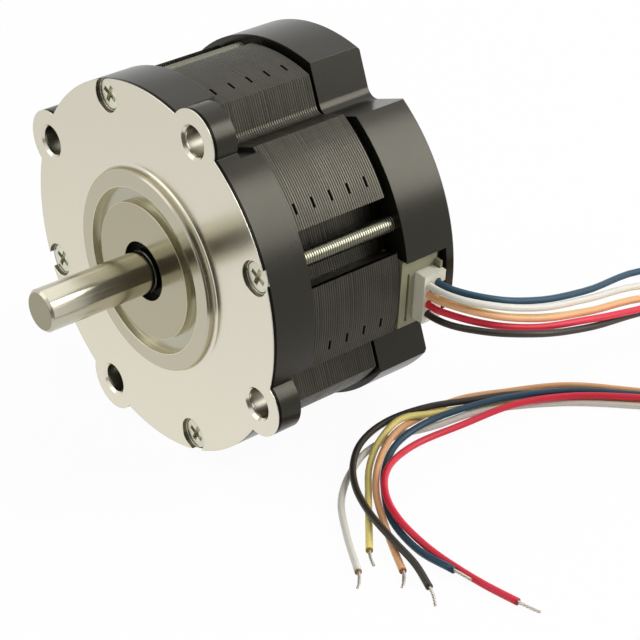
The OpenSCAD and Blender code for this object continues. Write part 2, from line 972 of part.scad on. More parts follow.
// A route's points are counted from the body's side, from its rear end and from the floor
blue_route = [
    [6.4, -4, 31.1], [9.9, 0, 29.7], [10.9, 8.5, 26.7], [9.9, 22.5, 23.1], [6.4, 41.5, 19.3],
    [7.9, 56.5, 15.5], [20.9, 71.5, 8.3], [34.9, 71, 3.9], [42.4, 61, 2.3], [41.4, 51, 2.1],
    [32.4, 39.5, 2.3], [17.9, 29, 1.9], [8.9, 21, 2.3], [3.4, 12.5, 2.5], [-0.6, 1.5, 2.5],
    [-2.1, -6.5, 2.1], [-1.1, -14.5, 1.5], [2.9, -21, 0.9], [8.9, -26.5, 0.7], [17.4, -32, 0.9],
    [26.9, -34.5, 0.7], [35.9, -35, 1.5]
];
white_route = [
    [6.9, -6, 30.9], [10.9, -1, 29.1], [12.4, 7, 26.3], [10.9, 21.5, 22.1], [8.9, 38.5, 18.1],
    [8.9, 56.5, 11.3], [20.4, 72.5, 2.7], [35.4, 73.5, 0.9], [45.4, 63.5, 0.9],
    [44.4, 49.5, 0.9], [34.4, 37.5, 0.9], [19.4, 27.5, 0.7], [8.9, 18.5, 0.7], [3.9, 12, 0.7],
    [0.4, 4, 1.1], [-2.1, -5.5, 0.7], [-4.1, -11.5, 0.7], [-4.1, -18.5, 0.7], [-0.6, -26, 0.7],
    [5.4, -33.5, 0.7], [14.4, -40, 0.7], [24.4, -46, 0.7]
];
orange_route = [
    [5.4, -6.5, 29.3], [10.4, -2, 27.5], [12.9, 6.5, 24.5], [13.4, 19, 21.3], [11.9, 35.5, 17.5],
    [11.9, 55, 10.5], [21.9, 67.5, 4.3], [33.9, 67.5, 1.9], [39.9, 60.5, 1.1], [39.4, 51.5, 0.9],
    [31.9, 42, 0.9], [15.9, 31, 1.1], [5.4, 22.5, 1.5], [-1.6, 13.5, 0.9], [-5.6, 4.5, 1.1],
    [-5.6, -4.5, 1.1], [-2.6, -14, 2.5], [1.9, -21.5, 1.9], [8.4, -28, 1.5], [16.9, -33.5, 0.9],
    [23.9, -37.5, 0.7], [29.4, -40.5, 0.7]
];
red_route = [
    [4.9, -6.5, 27.3], [9.9, -2, 25.5], [13.4, 6, 23.1], [15.4, 16.5, 21.3], [14.9, 32, 17.7],
    [12.4, 55.5, 12.7], [20.9, 70.5, 6.7], [34.9, 72.5, 2.5], [44.4, 62, 1.5], [43.4, 50, 1.9],
    [33.4, 38, 2.1], [18.9, 28, 2.1], [8.9, 18.5, 2.1], [4.9, 11, 2.1], [1.9, -1, 1.1],
    [1.4, -13.5, 1.3], [4.9, -22, 2.1], [10.9, -28, 2.5], [18.9, -32, 2.3], [26.4, -33, 1.1],
    [35.9, -33.5, 0.7], [41.9, -33.5, 0.7], [48.9, -33, 0.7]
];
black_route = [
    [4.4, -7, 25.5], [10.9, -3.5, 24.9], [15.4, 4, 23.3], [15.9, 16.5, 19.9], [13.9, 33, 16.1],
    [13.4, 55.5, 11.1], [21.4, 68.5, 5.9], [34.9, 69.5, 2.1], [41.9, 60, 0.9], [40.9, 51, 0.7],
    [32.4, 40.5, 0.9], [17.4, 29.5, 0.7], [6.9, 21, 0.9], [0.9, 12, 1.9], [-1.6, 4.5, 2.7],
    [-5.1, -4, 3.1], [-7.1, -11, 2.5], [-5.1, -19.5, 2.3], [-0.1, -26, 2.1], [5.9, -30.5, 2.1],
    [13.4, -34, 2.1], [23.4, -37, 2.1], [30.4, -38.5, 1.5], [35.9, -40.5, 0.7]
];
yellow_route = [
    [5.9, -3.5, 28.3], [7.9, -0.5, 26.5], [10.4, 8.5, 23.1], [11.4, 20.5, 20.1], [9.9, 37, 16.3],
    [10.4, 56, 10.7], [21.4, 70.5, 3.9], [35.9, 70.5, 1.1], [42.4, 63.5, 0.9], [42.4, 50, 0.7],
    [34.4, 40, 0.7], [18.4, 28.5, 0.7], [7.9, 20, 0.7], [1.9, 11.5, 0.9], [-1.6, 4, 1.3],
    [-3.6, -3, 2.1], [-5.1, -10.5, 3.1], [-3.6, -16.5, 1.9], [0.4, -22.5, 0.9],
    [6.9, -28.5, 0.7], [13.9, -34.5, 0.7], [20.9, -40.5, 0.7]
];

// A point of a way's own axis, at a distance from the motor axis
function way_point(way, r) =
    let (t = column_t(way[0]))
    [
        r * cos(connector_turn) - t * sin(connector_turn),
        way[1] == 0 ? row_1_y : row_2_y,
        r * sin(connector_turn) + t * cos(connector_turn)
    ];

function placed(route) = [for (p = route) p + [body_r, rear_end, -body_r]];

function whole_route(way, route) =
    concat([way_point(way, lead_start_r), way_point(way, plug_reach + straight_out)], placed(route));

function unit(v) = v / norm(v);

// The direction of a route at one of its points
function heading(points, i) =
    i == 0 ? unit(points[1] - points[0])
    : i == len(points) - 1 ? unit(points[i] - points[i - 1])
    : let (
        before = points[i] - points[i - 1],
        after = points[i + 1] - points[i]
    )
    unit(unit(before) * norm(after) + unit(after) * norm(before));

// A share of the way along the smooth curve between two points
function between(a, a_heading, b, b_heading, share) =
    let (
        reach = norm(b - a),
        rise = share * share * (3 - 2 * share)
    )
    a * (1 - rise) + b * rise
        + a_heading * reach * share * pow(1 - share, 2)
        - b_heading * reach * pow(share, 2) * (1 - share);

function smooth(points) = [
    for (i = [0:len(points) - 2])
        for (k = [0:lead_steps - 1])
            between(points[i], heading(points, i), points[i + 1], heading(points, i + 1), k / lead_steps),
    points[len(points) - 1]
];

// One ring of the tube, square to the curve
function tube_ring(curve, i, r) =
    let (
        along = heading(curve, i),
        side = unit(cross(along, [0, 0, 1])),
        top = cross(side, along)
    )
    [
        for (j = [0:lead_sides - 1])
            curve[i] + r * (side * cos(j * 360 / lead_sides) + top * sin(j * 360 / lead_sides))
    ];

module tube(points, r) {
    curve = smooth(points);
    last = len(curve) - 1;
    corners = [
        for (i = [0:last])
            for (p = tube_ring(curve, i, r))
                p
    ];
    sides = [
        for (i = [0:last - 1])
            for (j = [0:lead_sides - 1])
                let (
                    a = i * lead_sides + j,
                    b = i * lead_sides + (j + 1) % lead_sides
                )
                    for (t = [[a, b, b + lead_sides], [a, b + lead_sides, a + lead_sides]])
                        t
    ];
    caps = [
        for (j = [1:lead_sides - 2])
            for (t = [[0, j + 1, j], [last * lead_sides, last * lead_sides + j, last * lead_sides + j + 1]])
                t
    ];
    polyhedron(points = corners, faces = concat(sides, caps));
}

module lead_blue() {
    color([0.20, 0.32, 0.45])
        tube(whole_route(used_ways[5], blue_route), lead_d / 2);
}

module lead_white() {
    color([0.92, 0.91, 0.87])
        tube(whole_route(used_ways[3], white_route), lead_d / 2);
}

module lead_orange() {
    color([0.93, 0.68, 0.46])
        tube(whole_route(used_ways[2], orange_route), lead_d / 2);
}

module lead_red() {
    color([0.84, 0.20, 0.25])
        tube(whole_route(used_ways[1], red_route), lead_d / 2);
}

module lead_black() {
    color([0.22, 0.21, 0.20])
        tube(whole_route(used_ways[0], black_route), lead_d / 2);
}

module lead_yellow() {
    color([0.93, 0.85, 0.45])
        tube(whole_route(used_ways[4], yellow_route), lead_d / 2);
}

// Bare tinned conductors that stand out of the free ends
module bare_end(route) {
    points = placed(route);
    tip = points[len(points) - 1];
    along = heading(points, len(points) - 1);
    translate(tip)
        rotate([0, acos(along[2]), atan2(along[1], along[0])])
            cylinder(r = strand_d / 2, h = strip_len);
}

module stripped_ends() {
    color([0.78, 0.76, 0.70])
        for (route = [blue_route, white_route, orange_route, red_route, black_route, yellow_route])
            bare_end(route);
}

front_bracket();
rear_bracket();
stator_core();
front_insulator();
rear_insulator();
phase_a_coils();
phase_b_coils();
through_screws();
terminal_board();
connector_header();
header_pins();
plug_housing();
plug_contacts();
shaft();
rotor_core_front();
rotor_core_rear();
rotor_magnet();
front_spacer();
rear_spacer();
bearing_outer_ring(front_bearing_y);  // front_bearing_outer_ring
bearing_shields(front_bearing_y);  // front_bearing_shields
bearing_inner_ring(front_bearing_y);  // front_bearing_inner_ring
bearing_balls(front_bearing_y);  // front_bearing_balls
bearing_cage(front_bearing_y);  // front_bearing_cage
bearing_outer_ring(rear_bearing_y);  // rear_bearing_outer_ring
bearing_shields(rear_bearing_y);  // rear_bearing_shields
bearing_inner_ring(rear_bearing_y);  // rear_bearing_inner_ring
bearing_balls(rear_bearing_y);  // rear_bearing_balls
bearing_cage(rear_bearing_y);  // rear_bearing_cage
wave_washer();
lead_blue();
lead_white();
lead_orange();
lead_red();
lead_black();
lead_yellow();
stripped_ends();
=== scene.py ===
"""The looks of a dual shaft stepper motor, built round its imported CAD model."""

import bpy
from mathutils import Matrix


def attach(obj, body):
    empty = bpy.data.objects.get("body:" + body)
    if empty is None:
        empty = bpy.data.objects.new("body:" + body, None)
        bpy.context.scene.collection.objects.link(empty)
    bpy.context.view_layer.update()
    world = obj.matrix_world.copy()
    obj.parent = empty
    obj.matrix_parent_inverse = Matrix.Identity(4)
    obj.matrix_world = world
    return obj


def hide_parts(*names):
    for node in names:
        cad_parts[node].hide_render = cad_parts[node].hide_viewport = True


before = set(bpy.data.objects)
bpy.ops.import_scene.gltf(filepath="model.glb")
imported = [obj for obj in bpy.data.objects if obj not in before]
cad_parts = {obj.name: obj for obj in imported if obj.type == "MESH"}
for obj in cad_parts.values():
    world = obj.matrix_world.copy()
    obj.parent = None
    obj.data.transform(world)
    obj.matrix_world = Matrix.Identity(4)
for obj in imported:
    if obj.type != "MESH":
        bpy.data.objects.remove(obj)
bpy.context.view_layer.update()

from math import acos, asin, cos, pi, radians, sin, sqrt

import bmesh
import bpy
from bpy.props import FloatProperty, FloatVectorProperty, IntProperty, PointerProperty
from mathutils import Matrix, Vector

bl_info = {
    "name": "Dual Shaft Stepper Motor",
    "version": (1, 0, 0),
    "blender": (4, 5, 0),
    "location": "3D View > Sidebar > Stepper Motor",
    "description": "Dresses the packed stepper motor: finishes, laminations, threads, plug and leads",
    "category": "Object",
}

MM = 0.001
UP = Vector((0, 0, 1))

# The motor's own sizes, in millimetres, as its solids have them
BODY_R = 35.1
SHAFT_TIP = 23.7
REAR_TIP = 58.0
PILOT_R = 19.05
PILOT_T = 1.6
BOSS_R = 13.0
RING_L = 2.8
SHAFT_HOLE_R = 5.65
REAR_END = 42.0
EAR_R = 6.0
BOLT_R = 33.34
REST_ROLL = pi / 4 - acos((BODY_R - EAR_R) / BOLT_R)
STACK_Y = 9.1
STACK_LEN = 20.2
STACK_R = 34.0
STACK_FLAT = 20.1
STACK_FILLET = 1.6
GROOVE_FLOOR = 28.6
GROOVE_HALF = 5.2
MARK_L = 2.0
MARK_DEPTH = 0.5
SCREW_R = 32.15
SCREW_COUNT = 4
POCKET_R = 3.25
ROD_R = 1.5
COLLAR_END = 30.5
COLUMN_MID = -1.0
MIDDLE_COLUMN = 1.5
CONTACT_PITCH = 2.0
ROW_Y = (34.75, 36.75)
CONNECTOR_TURN = REST_ROLL - radians(24)
LEAD_START_R = 34.02
LEAD_STRAIGHT_R = 38.505

# How far the finishes of the brackets and the shaft reach, in millimetres
HOLE_BARE_R = 3.4
HOLE_BARE_L = 5.2
BORE_BARE_R = 11.5
FACE_BARE_L = 0.12
RIM_L = 0.75
SUNK_L = 0.9
PILOT_SIDE_L = 0.3
RING_FLOOR_L = 0.2
THROAT_L = 1.45
POCKET_WALL_T = 0.12
FILLET_R = 0.9
# How far above and below the axis the painted light on the machined face fades from darker to lighter
LIGHT_FADE_R = 30.0
STEP_T = 0.01
THIN = 0.05
EDGE = 0.1

# Detail that the solids don't have, in millimetres
BURR = 0.05
PLATE_DEPTH = 1.0
CUT_BACK = 0.14
CUT_OUT = 0.02
CUT_FLARE = (1.01, 0.97)

# Steps of round stretches, and sides of round wires
ARC_STEPS = 12
FILLET_STEPS = 4
LEAD_STEPS = 6
LEAD_SIDES = 16
THREAD_STEPS = 24
THREAD_SIDES = 6
STRAND_STEPS = 16
STRAND_SIDES = 8
STRAND_TURNS = 1.3

# Painted light and shade on the machined face: what its parts multiply its colour by, in the order they are
# laid on. The ring gets a painted highlight; its floor, the depths of the holes, the shaft's throat and the
# pocket walls get painted shade; the pilot and the boss are darker.
PAINTED_LIGHT_TINTS = {
    "pilot": (0.70, 0.69, 0.65),
    "boss": (0.84, 0.84, 0.79),
    "ring": (1.4, 1.42, 1.44),
    "ring floor": (0.44, 0.44, 0.42),
    "sunk": (0.32, 0.32, 0.30),
    "throat": (0.10, 0.10, 0.09),
    "pocket wall": (0.22, 0.22, 0.19),
}
# Painted dark reflection: the dead black line where the paint meets the machined face
RIM_PAINTED_SHADE = (0.003, 0.003, 0.002)
# Painted shade: the thin black ring on the shaft where it enters the pilot
STEP_PAINTED_SHADE = (0.01, 0.01, 0.01)
# Painted shade on the long screws' rods, which lie in the stack's grooves
ROD_PAINTED_SHADE = (0.3, 0.3, 0.26)
TIP_TINT = (0.62, 0.60, 0.52)
CUT_TINT = (0.42, 0.22, 0.08)
PAINT_GLOSS = 0.33
RIM_GLOSS = 0.05
BROAD_GRAIN = 0.08
BUMP_UNIT = 0.00001

# The studio, in metres: each lamp with its place, width, height and power, and the dark card
LAMPS = (
    ("Top Lamp", (-0.1, 0.25, 1.0), 1.4, 1.4, "top_power"),
    ("Side Lamp", (0.613, 0.635, 0.469), 0.46, 0.62, "side_power"),
    ("Front Lamp", (-0.5, -0.9, 0.55), 0.8, 0.8, "front_power"),
)
LAMP_TARGET = Vector((0.01, 0.02, 0.0))
FLOOR_GLOW = 0.96
CARD_NEAR = 0.06
CARD_FAR = 0.9
CARD_TOP = 0.95
CARD_LIFT = 0.0004
CARD_HALF_TURN = radians(26)
CARD_STEPS = 12

# Every eighth plate has marks in one pattern, and every eighth in the other. A pattern
# gives the angle of the mark from the middle of each of the four lobes in turn.
MARK_EVERY = 8
MARK_PATTERNS = {3: (15, -30, 15, -30), 1: (-30, 15, -30, 15)}

# How far the bare end of a lead bends towards the viewer's side, in millimetres at its tip
BARE_BENDS = {"blue": 0.2, "white": 0.9, "orange": 1.2, "red": -0.2, "black": 0.8, "yellow": -0.7}

# Each lead's way of the plug, as column and row, and its route,
# counted from the body's side, from its rear end and from the floor
LEADS = {
    "blue": ((3, 1), [
        (6.4, -4, 31.1), (9.9, 0, 29.7), (10.9, 8.5, 26.7), (9.9, 22.5, 23.1), (6.4, 41.5, 19.3),
        (7.9, 56.5, 15.5), (20.9, 71.5, 8.3), (34.9, 71, 3.9), (42.4, 61, 2.3), (41.4, 51, 2.1),
        (32.4, 39.5, 2.3), (17.9, 29, 1.9), (8.9, 21, 2.3), (3.4, 12.5, 2.5), (-0.6, 1.5, 2.5),
        (-2.1, -6.5, 2.1), (-1.1, -14.5, 1.5), (2.9, -21, 0.9), (8.9, -26.5, 0.7),
        (17.4, -32, 0.9), (26.9, -34.5, 0.7), (35.9, -35, 1.5),
    ]),
    "white": ((3, 0), [
        (6.9, -6, 30.9), (10.9, -1, 29.1), (12.4, 7, 26.3), (10.9, 21.5, 22.1), (8.9, 38.5, 18.1),
        (8.9, 56.5, 11.3), (20.4, 72.5, 2.7), (35.4, 73.5, 0.9), (45.4, 63.5, 0.9),
        (44.4, 49.5, 0.9), (34.4, 37.5, 0.9), (19.4, 27.5, 0.7), (8.9, 18.5, 0.7), (3.9, 12, 0.7),
        (0.4, 4, 1.1), (-2.1, -5.5, 0.7), (-4.1, -11.5, 0.7), (-4.1, -18.5, 0.7), (-0.6, -26, 0.7),
        (5.4, -33.5, 0.7), (14.4, -40, 0.7), (24.4, -46, 0.7),
    ]),
    "orange": ((2, 0), [
        (5.4, -6.5, 29.3), (10.4, -2, 27.5), (12.9, 6.5, 24.5), (13.4, 19, 21.3),
        (11.9, 35.5, 17.5), (11.9, 55, 10.5), (21.9, 67.5, 4.3), (33.9, 67.5, 1.9),
        (39.9, 60.5, 1.1), (39.4, 51.5, 0.9), (31.9, 42, 0.9), (15.9, 31, 1.1), (5.4, 22.5, 1.5),
        (-1.6, 13.5, 0.9), (-5.6, 4.5, 1.1), (-5.6, -4.5, 1.1), (-2.6, -14, 2.5),
        (1.9, -21.5, 1.9), (8.4, -28, 1.5), (16.9, -33.5, 0.9), (23.9, -37.5, 0.7),
        (29.4, -40.5, 0.7),
    ]),
    "red": ((1, 0), [
        (4.9, -6.5, 27.3), (9.9, -2, 25.5), (13.4, 6, 23.1), (15.4, 16.5, 21.3), (14.9, 32, 17.7),
        (12.4, 55.5, 12.7), (20.9, 70.5, 6.7), (34.9, 72.5, 2.5), (44.4, 62, 1.5), (43.4, 50, 1.9),
        (33.4, 38, 2.1), (18.9, 28, 2.1), (8.9, 18.5, 2.1), (4.9, 11, 2.1), (1.9, -1, 1.1),
        (1.4, -13.5, 1.3), (4.9, -22, 2.1), (10.9, -28, 2.5), (18.9, -32, 2.3), (26.4, -33, 1.1),
        (35.9, -33.5, 0.7), (41.9, -33.5, 0.7), (48.9, -33, 0.7),
    ]),
    "black": ((0, 0), [
        (4.4, -7, 25.5), (10.9, -3.5, 24.9), (15.4, 4, 23.3), (15.9, 16.5, 19.9), (13.9, 33, 16.1),
        (13.4, 55.5, 11.1), (21.4, 68.5, 5.9), (34.9, 69.5, 2.1), (41.9, 60, 0.9), (40.9, 51, 0.7),
        (32.4, 40.5, 0.9), (17.4, 29.5, 0.7), (6.9, 21, 0.9), (0.9, 12, 1.9), (-1.6, 4.5, 2.7),
        (-5.1, -4, 3.1), (-7.1, -11, 2.5), (-5.1, -19.5, 2.3), (-0.1, -26, 2.1), (5.9, -30.5, 2.1),
        (13.4, -34, 2.1), (23.4, -37, 2.1), (30.4, -38.5, 1.5), (35.9, -40.5, 0.7),
    ]),
    "yellow": ((2, 1), [
        (5.9, -3.5, 28.3), (7.9, -0.5, 26.5), (10.4, 8.5, 23.1), (11.4, 20.5, 20.1),
        (9.9, 37, 16.3), (10.4, 56, 10.7), (21.4, 70.5, 3.9), (35.9, 70.5, 1.1), (42.4, 63.5, 0.9),
        (42.4, 50, 0.7), (34.4, 40, 0.7), (18.4, 28.5, 0.7), (7.9, 20, 0.7), (1.9, 11.5, 0.9),
        (-1.6, 4, 1.3), (-3.6, -3, 2.1), (-5.1, -10.5, 3.1), (-3.6, -16.5, 1.9), (0.4, -22.5, 0.9),
        (6.9, -28.5, 0.7), (13.9, -34.5, 0.7), (20.9, -40.5, 0.7),
    ]),
}


def linear(*srgb):
    """A colour of sRGB values from 0 to 255, as the linear values that a shader takes."""
    shares = [c / 255 for c in srgb]
    return tuple(c / 12.92 if c <= 0.04045 else ((c + 0.055) / 1.055) ** 2.4 for c in shares)


def colour(name, description, *srgb):
    return FloatVectorProperty(
        name=name, description=description, subtype="COLOR", size=3, min=0, max=1, default=linear(*srgb),
    )


def number(name, description, default, low, high, kind=FloatProperty, **options):
    return kind(name=name, description=description, default=default, min=low, max=high, **options)


def length(name, description, default, low, high):
    return number(name, description, default, low, high, subtype="DISTANCE", unit="LENGTH", precision=5)


def angle(name, description, default):
    return FloatProperty(name=name, description=description, subtype="ANGLE", default=default)


def power(name, description, default):
    return number(name, description, default, 0, 50, subtype="POWER", unit="POWER")


class MotorSizes(bpy.types.PropertyGroup):
    """Sizes of the motor's fine detail."""

    lead_diameter: length("Lead Diameter", "Outside of a lead's insulation", 0.0013, 0.001, 0.002)
    strand_diameter: length("Strand Diameter", "One strand of a bare end", 0.0002, 0.0001, 0.0004)
    bare_length: length("Bare Length", "Bare conductor past a lead's insulation", 0.0045, 0.001, 0.008)
    strand_count: number("Strands", "Strands laid round the middle one", 5, 3, 12, IntProperty)
    lamination_count: number("Laminations", "Plates in the stator's stack", 41, 10, 80, IntProperty)
    plate_share: number(
        "Plate Share", "Share of the stack's length that its plates fill", 0.6, 0.2, 0.95, subtype="FACTOR",
    )
    plate_proud: length(
        "Plate Stand-out", "How far the plates' edges stand out of the stack", 0.00006, 0.00001, 0.0003,
    )
    thread_pitch: length("Thread Pitch", "Pitch of the long screws' thread", 0.0005, 0.0003, 0.001)
    thread_height: length("Thread Height", "Radius of the thread's rounded crest", 0.00016, 0.00005, 0.0003)


class MotorColours(bpy.types.PropertyGroup):
    """Colours of the motor's finishes."""

    machined: colour("Machined Metal", "Bare mounting face and pilot", 224, 219, 204)
    paint: colour("Bracket Paint", "Semi-gloss paint on both end brackets", 23, 23, 16)
    lamination: colour("Lamination Edge", "Outer edges of the stack's plates", 80, 76, 62)
    lamination_gap: colour("Lamination Gap", "Dark coating between the plates", 16, 16, 13)
    screw: colour("Screw Zinc", "Plated long screws", 216, 214, 196)
    shaft: colour("Shaft Steel", "Ground shaft", 190, 186, 168)
    header: colour("Header", "Ivory header on the terminal board", 138, 137, 110)
    plug: colour("Plug", "White plug housing", 222, 220, 202)
    contact: colour("Contact", "Tinned contacts and pins", 206, 202, 188)
    board: colour("Terminal Board", "Solder resist of the board", 20, 40, 28)
    insulator: colour("Insulator", "Moulded slot insulators", 226, 220, 200)
    winding: colour("Winding", "Enamelled copper wire", 176, 98, 48)
    rotor: colour("Rotor Steel", "Ground rotor laminations", 160, 160, 158)
    magnet: colour("Magnet", "Plated rotor magnet", 96, 96, 100)
    bearing: colour("Bearing Steel", "Rings, balls and shields", 150, 148, 142)
    cage: colour("Bearing Cage", "Pressed brass cage", 176, 140, 84)
    tinned: colour("Tinned Wire", "Bare ends of the leads", 214, 208, 196)
    blue: colour("Blue Lead", "Vinyl of the blue lead", 40, 74, 94)
    white: colour("White Lead", "Vinyl of the white lead", 230, 226, 215)
    orange: colour("Orange Lead", "Vinyl of the orange lead", 240, 182, 132)
    red: colour("Red Lead", "Vinyl of the red lead", 224, 48, 70)
    black: colour("Black Lead", "Vinyl of the black lead", 54, 48, 40)
    yellow: colour("Yellow Lead", "Vinyl of the yellow lead", 250, 233, 140)


class StudioSettings(bpy.types.PropertyGroup):
    """Camera, lamps and floor."""

    camera_place: FloatVectorProperty(
        name="Camera Place", description="Where the camera stands", subtype="TRANSLATION", unit="LENGTH",
        size=3, default=(0.288424, -0.191034, 0.166682),
    )
    azimuth: angle("Azimuth", "Camera's direction round the motor, from its front face", 0.8993965)
    elevation: angle("Elevation", "Camera's angle above the floor", 0.4790012)
    roll: angle("Roll", "Camera's turn about its own axis", -0.0556965)
    lens: number("Lens", "Focal length on a 36 mm sensor, in millimetres", 119.973, 20, 300)
    sky: number("Sky Strength", "Even light from all round", 0.36, 0, 2)
    top_power: power("Top Lamp", "Power of the overhead soft lamp", 4.2)
    side_power: power("Side Lamp", "Power of the soft lamp behind the leads", 6.4)
    front_power: power("Front Lamp", "Power of the soft lamp before the face", 2.0)
    floor_size: length("Floor Size", "Width of the floor", 6.0, 1.0, 20.0)


def settings():
    scene = bpy.context.scene
    return scene.motor_sizes, scene.motor_colours, scene.motor_studio


# Shader trees

def plain(value):
    """A number's socket, and any other value as it is."""
    return getattr(value, "socket", value)


def feed(node, inputs=(), **named):
    """Gives inputs of a node their values or links. Named ones have underscores for spaces here."""
    spaced = {key.replace("_", " "): value for key, value in named.items()}
    for key, value in {**dict(inputs), **spaced}.items():
        if isinstance(plain(value), bpy.types.NodeSocket):
            node.id_data.links.new(plain(value), node.inputs[key])
        else:
            node.inputs[key].default_value = value


def add(tree, kind, inputs=(), **options):
    """The outputs of a new node, its options set and its inputs given values or linked."""
    node = tree.nodes.new(kind)
    for key, value in options.items():
        setattr(node, key, value)
    feed(node, inputs)
    return node.outputs


def maths(operation, swapped=False):
    """A method that makes a Math node of a number, and of other values if there are any."""
    def method(self, *others):
        given = enumerate((*others, self) if swapped else (self, *others))
        return Number(add(self.socket.id_data, "ShaderNodeMath", given, operation=operation)[0])
    return method


class Number:
    """A socket whose sums are Math nodes. A mask is a number that is nought or one."""

    def __init__(self, socket):
        self.socket = socket

    def __invert__(self):
        return 1.0 - self

    __abs__ = maths("ABSOLUTE")
    __add__ = maths("ADD")
    __sub__ = maths("SUBTRACT")
    __rsub__ = maths("SUBTRACT", swapped=True)
    __mul__ = __and__ = maths("MULTIPLY")
    __truediv__ = maths("DIVIDE")
    __lt__ = maths("LESS_THAN")
    __gt__ = maths("GREATER_THAN")
    __or__ = larger = maths("MAXIMUM")
    smaller = maths("MINIMUM")
    root = maths("SQRT")
    floor = maths("FLOOR")
    sine = maths("SINE")
    times_plus = maths("MULTIPLY_ADD")


def parts(vector):
    """The three parts of a vector."""
    return [Number(part) for part in add(vector.id_data, "ShaderNodeSeparateXYZ", {0: vector})]


def distance(first, second, at_first=0.0, at_second=0.0):
    """How far a point lies from a place, both in two dimensions."""
    across, along = first - at_first, second - at_second
    return (across * across + along * along).root()


def dimmed(colour, share):
    """A colour times a share, or times one share for each of its parts."""
    shares = share if isinstance(share, tuple) else (share,) * 3
    return tuple(c * s for c, s in zip(colour, shares))


def mixed_colour(share, first, second):
    """The colour output of a Mix node."""
    first, second = (c if isinstance(c, bpy.types.NodeSocket) else (*c, 1) for c in (first, second))
    return add(plain(share).id_data, "ShaderNodeMix", {0: share, 6: first, 7: second}, data_type="RGBA")[2]


def tinted(colour, tint):
    """The output of a Mix node that multiplies a colour by a tint."""
    given = {0: 1.0, 6: colour, 7: (*tint, 1)}
    return add(colour.id_data, "ShaderNodeMix", given, data_type="RGBA", blend_type="MULTIPLY")[2]


def mixed_value(share, first, second):
    """The value output of a Mix node."""
    given = {0: share, 2: first, 3: second}
    return Number(add(plain(share).id_data, "ShaderNodeMix", given, data_type="FLOAT")[0])


def new_group(name, inputs, outputs):
    """An empty shader group. An input without a default is a vector, and the rest are floats."""
    group = bpy.data.node_groups.new(name, "ShaderNodeTree")
    for label, default in inputs.items():
        kind = "NodeSocketVector" if default is None else "NodeSocketFloat"
        socket = group.interface.new_socket(label, in_out="INPUT", socket_type=kind)
        if default is not None:
            socket.default_value = default
    for label in outputs:
        group.interface.new_socket(label, in_out="OUTPUT", socket_type="NodeSocketFloat")
    return group, add(group, "NodeGroupInput"), group.nodes.new("NodeGroupOutput")


def fine_grain(name):
    """Fine uneven grain, as cast, painted and moulded faces have."""
    inputs = {"Vector": None, "Scale": 1000.0, "Low": 0.0, "High": 1.0}
    group, given, out = new_group(name, inputs, ("Value", "Height"))
    noise = add(group, "ShaderNodeTexNoise", {
        "Vector": given["Vector"], "Scale": given["Scale"], "Detail": 4.0, "Roughness": 0.6,
    })["Fac"]
    ranged = add(group, "ShaderNodeMapRange", {
        "Value": noise, "From Min": 0.3, "From Max": 0.7, "To Min": given["Low"], "To Max": given["High"],
    })["Result"]
    feed(out, Value=ranged, Height=noise)
    return group


def wavering(group, turns, scale, detail):
    """A wave for each turn, and noise that goes along with it."""
    given = {"W": turns, "Scale": scale, "Detail": detail}
    noise = add(group, "ShaderNodeTexNoise", given, noise_dimensions="1D")["Fac"]
    return (turns * (2 * pi)).sine(), noise


def turned_marks(name):
    """Fine tool marks in rings round the motor's axis."""
    group, given, out = new_group(name, {"Vector": None, "Pitch": 0.00016}, ("Height",))
    x, _, z = parts(given["Vector"])
    wave, uneven = wavering(group, distance(x, z) / given["Pitch"], 0.35, 2.0)
    feed(out, Height=wave.times_plus(0.3, uneven))
    return group


def cross_lines(name):
    """Even lines across the motor's axis, as fine grinding, plies and wound wire have."""
    inputs = {"Vector": None, "Pitch": 0.0005, "Unevenness": 0.2}
    group, given, out = new_group(name, inputs, ("Height",))
    wave, uneven = wavering(group, parts(given["Vector"])[1] / given["Pitch"], 1.7, 3.0)
    feed(out, Height=mixed_value(given["Unevenness"], wave, uneven))
    return group


def effect(build, at, **inputs):
    """The outputs of a node of a shared group, which is built when it is first used."""
    name = build.__name__.replace("_", " ").title()
    group = bpy.data.node_groups.get(name) or build(name)
    return add(at.id_data, "ShaderNodeGroup", {"Vector": at, **inputs}, node_tree=group)


def grain(at, scale, low=0.0, high=1.0):
    return effect(fine_grain, at, Scale=scale, Low=low, High=high)


def new_material(name, **sockets):
    """A material with a Principled shader, its Object coordinates, and the shader's plain values."""
    material = bpy.data.materials.new(name)
    material.use_nodes = True
    tree = material.node_tree
    shader = tree.nodes["Principled BSDF"]
    feed(shader, **sockets)
    return material, shader, add(tree, "ShaderNodeTexCoord")["Object"]


def bump(shader, height, depth, rounding=0.0):
    """Bump from a height, over edges that catch the light as if slightly rounded."""
    given = {"Height": height, "Distance": depth}
    if rounding:
        given["Normal"] = add(shader.id_data, "ShaderNodeBevel", {"Radius": rounding}, samples=6)[0]
    feed(shader, Normal=add(shader.id_data, "ShaderNodeBump", given)[0])


def grained(name, colour, dark, rough, metallic=0.0, scale=900.0, depth=0.00002, rounding=0.0, **sockets):
    """A plain finish with grain: its colour falls to a share of itself, its roughness spans a range."""
    material, shader, at = new_material(name, Metallic=metallic, **sockets)
    fine = grain(at, scale)
    broad = grain(at, scale * BROAD_GRAIN, *rough)
    shade = mixed_colour(fine["Value"], dimmed(colour, dark), colour)
    feed(shader, Base_Color=shade, Roughness=broad["Value"])
    bump(shader, fine["Height"], depth, rounding)
    return material


def marked(name, colour, dark, rough, depth, build, scale=90.0, metallic=1.0, **inputs):
    """A finish with tool marks or lines from a shared group."""
    material, shader, at = new_material(name, Metallic=metallic)
    height = effect(build, at, **inputs)["Height"]
    broad = grain(at, scale, *rough)
    shade = mixed_colour(height, dimmed(colour, dark), colour)
    feed(shader, Base_Color=shade, Roughness=broad["Value"])
    bump(shader, height, depth)
    return material


